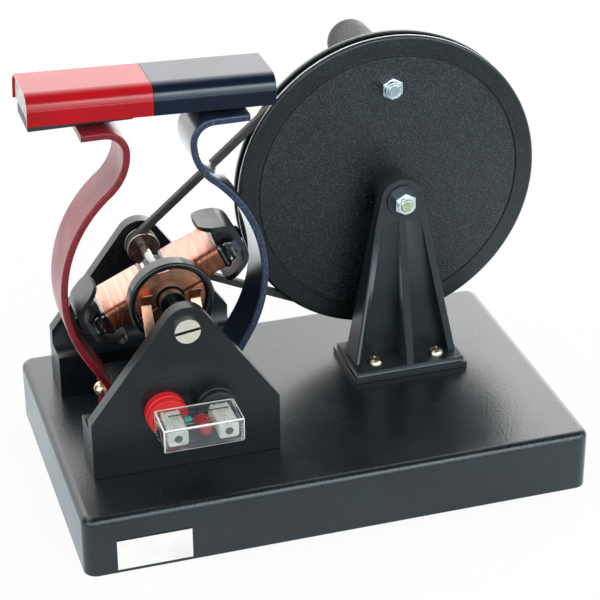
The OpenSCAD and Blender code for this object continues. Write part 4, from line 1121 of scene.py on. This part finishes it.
leads = wound(LEAD_TURNS, LEAD_LONG, LEAD_HALF_WIDTH, LEAD_HALF_HEIGHT)
leads.transform(ARM @ OTHER_END @ Matrix.Translation((LEAD_FROM * MM, 0, 0)))
piece("lead_turns", leads, "armature", "copper")

# %% [markdown]
# ## Armature iron, commutator and pulley
# The shoes are lacquered sheet, bent and riveted on. The commutator is a pressed black cup with two
# copper half rings in it, each held by a small folded tab at the rim.

# %% Armature parts
TAB_AT_R = 13.3
TAB_TURN = 102
TAB_WIDE = 4.4
TAB_THICK = 0.7
TAB_EDGE = 0.15
TAB_RINGS = ((-25.2, TAB_EDGE), (-25.05, 0), (-22.4, 0), (-22.25, TAB_EDGE))
rolled("pole_shoes", 0.45, black_lacquer, steps=3)
rolled("shoe_rivets", 0.35, black_lacquer, steps=3)
rolled("commutator_cup", 0.25, bakelite)
rolled("commutator_segments", 0.12, ring_copper)
tab_place = Matrix.Translation(Vector((SHAFT_AT.x, 0, SHAFT_AT.z)) * MM)
tabs = []
for turn in (TAB_TURN, TAB_TURN + 180):
    rings = []
    for y, shrink in TAB_RINGS:
        loop = bar_section(TAB_WIDE - 2 * shrink, TAB_THICK - 2 * shrink, TAB_EDGE)
        rings.append([(across, y, TAB_AT_R + off) for across, off in loop])
    tab = ring_skin("tab", rings, sheet_copper)
    tab.transform(tab_place @ turned(90 - turn, "Y"))
    tabs.append(tab)
tab_mesh = joined("segment_tabs", tabs, sheet_copper)
piece("segment_tabs", tab_mesh, "armature", "copper")
rolled("pulley", 0.2, turned_steel)
rolled("brush_left", 0.14, sheet_copper)
rolled("brush_right", 0.14, sheet_copper)

# %% [markdown]
# ## Bearing screws, nuts and bolts
# The shaft turns between two slotted screws. The faces inside a slot take a painted shade, and the rest of
# the screw is nickel. The wheel's axle and the crank's bolt end in hexagon nuts.

# %% Bearing screws, nuts and bolts
SLOT_REACH = 4.0
SLOT_FROM = 0.3
SLOT_TO = 2.5
for node, end, facing in (("front_bearing", 0, 1), ("rear_bearing", 1, -1)):
    head_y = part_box(node)[end][1] / MM

    def in_slot(face):
        spot = face.center / MM - SHAFT_AT
        depth = (spot.y + SHAFT_AT.y - head_y) * facing
        return SLOT_FROM < depth < SLOT_TO and math.hypot(spot.x, spot.z) < SLOT_REACH

    # The faces inside the slot take the painted shade.
    refaced(rolled(node, 0.15, nickel).data, slot_shade_paint, in_slot)
rolled("axle_nut", 0.3, bright_zinc)
rolled("handle_nut", 0.3, bright_zinc)
rolled("wheel_axle", 0.3, olive_zinc)
rolled("handle_bolt", 0.3, bright_zinc)
rolled("axle_washer", 0.15, bright_zinc)

# %% [markdown]
# ## Screws
# A round-head screw repeats wherever a moulding is held down. Geometry Nodes make one domed head,
# cut its recess, and set a copy at every point with the turn stored there. A slotted head is the same
# screw with one cutter in place of two.

# %% The screw tree
UNDER_WIDE = 1.2
CROSS_LONG = 0.62
STEM_DROP = -0.48
numbers = ("Head", "Dome", "Shank", "Reach", "Slot")
kinds = {**dict.fromkeys(numbers, "Float"), "Cross": "Bool", "Finish": "Material"}
screw, sizes, result = node_group("domed_screw", kinds)
shares = (
    ("Head", 0.5), ("Shank", 0.5), ("Dome", 2.0), ("Head", UNDER_WIDE), ("Dome", -1.0),
    ("Head", CROSS_LONG), ("Reach", STEM_DROP),
)
parts = []
for size, share in shares:
    parts.append(add(screw, "ShaderNodeMath", {0: sizes[size], 1: share}, operation="MULTIPLY"))
head_r, shank_r, deep, wide, lower, long_cut, drop = parts
ball = add(screw, "GeometryNodeMeshUVSphere", {"Segments": 32, "Rings": 20, "Radius": 1.0})
squash = add(screw, "ShaderNodeCombineXYZ", {0: head_r, 1: head_r, 2: sizes["Dome"]})
dome = add(screw, "GeometryNodeTransform", {0: ball, "Scale": squash})
under_size = add(screw, "ShaderNodeCombineXYZ", {0: wide, 1: wide, 2: deep})
below = add(screw, "ShaderNodeCombineXYZ", {2: lower})
under = add(screw, "GeometryNodeMeshCube", {"Size": under_size})
under = add(screw, "GeometryNodeTransform", {0: under, "Translation": below})
full_cut = add(screw, "ShaderNodeMix", {0: sizes["Cross"], 2: wide, 3: long_cut}, data_type="FLOAT")
cut_size = add(screw, "ShaderNodeCombineXYZ", {0: full_cut, 1: sizes["Slot"], 2: sizes["Dome"]})
cutter = add(screw, "GeometryNodeMeshCube", {"Size": cut_size})
raised = add(screw, "ShaderNodeCombineXYZ", {2: sizes["Dome"]})
cutter = add(screw, "GeometryNodeTransform", {0: cutter, "Translation": raised})
second = add(screw, "GeometryNodeTransform", {0: cutter, "Rotation": (0, 0, math.pi / 2)})
crossed = add(screw, "GeometryNodeMeshBoolean", {"Mesh 2": cutter}, operation="UNION")
feed(screw, crossed, {"Mesh 2": second})
choice = {"Switch": sizes["Cross"], "False": cutter, "True": crossed}
cuts = add(screw, "GeometryNodeSwitch", choice, input_type="GEOMETRY")
head = add(screw, "GeometryNodeMeshBoolean", {"Mesh 1": dome, "Mesh 2": under}, operation="DIFFERENCE")
head = add(screw, "GeometryNodeMeshBoolean", {"Mesh 1": head, "Mesh 2": cuts}, operation="DIFFERENCE")
rod = {"Vertices": 24, "Radius": shank_r, "Depth": sizes["Reach"]}
stem = add(screw, "GeometryNodeMeshCylinder", rod)
sunk = add(screw, "ShaderNodeCombineXYZ", {2: drop})
stem = add(screw, "GeometryNodeTransform", {0: stem, "Translation": sunk})
whole = add(screw, "GeometryNodeJoinGeometry", {0: head})
feed(screw, whole, {0: stem})
aim = add(screw, "GeometryNodeInputNamedAttribute", {"Name": "aim"}, data_type="FLOAT_VECTOR")
spin = add(screw, "FunctionNodeEulerToRotation", {0: aim})
copy = {"Points": sizes["Geometry"], "Instance": whole, "Rotation": spin}
copies = add(screw, "GeometryNodeInstanceOnPoints", copy)
real = add(screw, "GeometryNodeRealizeInstances", {0: copies})
dressed = add(screw, "GeometryNodeSetMaterial", {0: real, "Material": sizes["Finish"]})
feed(screw, result, {"Geometry": dressed})
print("nodes in the screw tree:", len(screw.nodes))

# %% Set the screws
HEAD = 6.4
DOME = 2.4
SHANK = 3.0
SLIT = 0.85


def screws(
    name, spots, reach, material, body, slot, node=None, cross=True, head=HEAD, dome=DOME, slit=SLIT
):
    """Screws at spots of (point in millimetres, turn in degrees about x, y and z)."""
    seeds = bpy.data.meshes.new(name)
    seeds.from_pydata([Vector(p) * MM for p, aim in spots], [], [])
    turns = seeds.attributes.new("aim", "FLOAT_VECTOR", "POINT")
    for row, (p, aim) in zip(turns.data, spots):
        row.vector = [math.radians(a) for a in aim]
    values = {
        "Head": head * MM,
        "Dome": dome * MM,
        "Shank": SHANK * MM,
        "Reach": reach * MM,
        "Slot": slit * MM,
        "Cross": cross,
        "Finish": material,
    }
    mesh = grown(screw, seeds, values)
    mesh.shade_smooth()
    mesh.set_sharp_from_angle(angle=math.radians(SMOOTH_UP_TO))
    return piece(name, mesh, body, slot, *([node] if node else []))


def middle(node):
    low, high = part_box(node)
    return (Vector(low) + Vector(high)) / 2 / MM


STAND_SCREW_Z = 29.5
STAND_SCREW_HALF = 13
stand_mid = middle("stand_screws")
stand_spots = []
for s in (-1, 1):
    at = (stand_mid.x + s * STAND_SCREW_HALF, stand_mid.y, STAND_SCREW_Z)
    stand_spots.append((at, (0, 0, 20 + 30 * s)))
screws("stand_screw_set", stand_spots, 12, zinc, "frame", "zinc", "stand_screws")

SCREW_DROP = 4.0
POLE_DOME = 3.2
foot_end = strip_line(RED_TAB)[-1]
seat = foot_end + Vector((-STRIP_THICK / 2, FOOT_DROP - SCREW_DROP))
pole_spots = [
    ((SHAFT_AT.x + s * seat.x, STRIP_MID_Y, SHAFT_AT.z + seat.y), (20, -s * 90, 0)) for s in (1, -1)
]
screws("pole_screw_set", pole_spots, 8, zinc, "frame", "zinc", "pole_screws", dome=POLE_DOME)

UNDER_TOP = BASE_TOP - BASE_WALL
UNDER_HALF = 4.25
foot_low, foot_high = (Vector(c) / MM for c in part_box("foot_screws"))
foot_x = (foot_low.x + HEAD / 2, foot_high.x - HEAD / 2)
foot_y = (foot_low.y + HEAD / 2, foot_high.y - HEAD / 2)
under_spots = [((x, y, UNDER_TOP), (180, 0, 15)) for x in foot_x for y in foot_y]
for s in (-1, 1):
    under_spots.append(((SHAFT_AT.x, STRIP_MID_Y + s * UNDER_HALF, UNDER_TOP), (180, 0, 40)))
screws("under_screw_set", under_spots, 12.5, zinc, "frame", "zinc", "foot_screws")

# %% [markdown]
# ## Plug-in indicator
# The case is cut from clear sheet, and its sawn edges are frosted: they gather the light and draw
# the case as a frame of white lines. Inside are two milky plug bodies with ribs along their tops,
# each with a small slotted screw in front. A red lamp and a teal bead hang between them on bright
# wires, and a thin dark rod lies across both bodies.

# %% Case and plug bodies
PLUG_WIDE = 7.6
PLUG_EDGE = 1.2
PLUG_ROLL = 0.5
PLUG_INSET = 0.3
RIBS = 4
RIB_DEEP = 0.6
RIB_POINTS = 24
rolled("led_case", 0.5, acrylic, frosted_edge, steps=1)
plug_low, plug_high = (Vector(c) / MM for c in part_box("led_plugs"))
plug_x = (plug_low.x + PLUG_WIDE / 2, plug_high.x - PLUG_WIDE / 2)
plug_z = (plug_low.z + plug_high.z) / 2
plug_half = (plug_high.z - plug_low.z) / 2 - PLUG_INSET


def ribbed_loop(shrink):
    wide = PLUG_WIDE / 2 - shrink
    tall = plug_half - shrink
    loop = arc((wide - PLUG_EDGE, -tall + PLUG_EDGE), PLUG_EDGE, 270, 360, 4)
    loop += arc((wide - PLUG_EDGE, tall - PLUG_EDGE), PLUG_EDGE, 0, 90, 4)
    for k in range(1, RIB_POINTS):
        across = (wide - PLUG_EDGE) * (1 - 2 * k / RIB_POINTS)
        dip = 0.5 - 0.5 * math.cos(2 * math.pi * RIBS * k / RIB_POINTS)
        loop.append((across, tall - RIB_DEEP * dip))
    loop += arc((-wide + PLUG_EDGE, tall - PLUG_EDGE), PLUG_EDGE, 90, 180, 4)
    return loop + arc((-wide + PLUG_EDGE, -tall + PLUG_EDGE), PLUG_EDGE, 180, 270, 4)


bodies = []
front, back = plug_low.y, plug_high.y
plug_rings = ((front, PLUG_ROLL), (front + PLUG_ROLL, 0), (back - PLUG_ROLL, 0), (back, PLUG_ROLL))
for x in plug_x:
    rings = []
    for y, shrink in plug_rings:
        rings.append([(x + across, y, plug_z + up) for across, up in ribbed_loop(shrink)])
    bodies.append(ring_skin("plug", rings, milky_plastic))
plug_mesh = joined("plug_bodies", bodies, milky_plastic)
piece("plug_bodies", plug_mesh, "indicator", "white_plug", "led_plugs")

# A thin dark rod across the tops of both plug bodies, drawing the dark line seen there.
CROSS_ROD_R = 0.2
CROSS_ROD_AT = (front + 9.4, plug_high.z - 0.1)
CROSS_ROD_ENDS = (plug_x[0] - 1.4, plug_x[1] + 2.4)
section = arc(CROSS_ROD_AT, CROSS_ROD_R, 0, 324, 9)
rings = [[(x, *spot) for spot in section] for x in CROSS_ROD_ENDS]
piece("dark_cross_rod", ring_skin("dark_cross_rod", rings, black_pvc), "indicator", "black_gloss")

# %% Indicator fittings
PLUG_HEAD = 2.6
PLUG_DOME = 0.5
PLUG_SLIT = 0.8
plug_spots = [((x, plug_low.y, plug_z), (90, 0, 0)) for x in plug_x]
screws(
    "plug_screw_set", plug_spots, 2, dark_steel, "indicator", "nickel",
    cross=False, head=PLUG_HEAD, dome=PLUG_DOME, slit=PLUG_SLIT,
)

# %% [markdown]
# ## Plain pieces
# The rest keep their solids as they are and only take a finish.

# %% Plain pieces
plain = {
    "led_pins": nickel,
    "led_lamp": red_epoxy,
    "led_resistor": teal_lacquer,
    "led_leads": tinned,
    "shaft": dark_steel,
    "armature_core": core_iron,
    "coil_lead": wire_copper,
    "winding_cores": wire_copper,
    "socket_tubes": brass,
    "socket_nuts": nickel,
}
for node, material in plain.items():
    nodes[node].data.materials.clear()
    nodes[node].data.materials.append(material)
print("plain pieces:", len(plain))
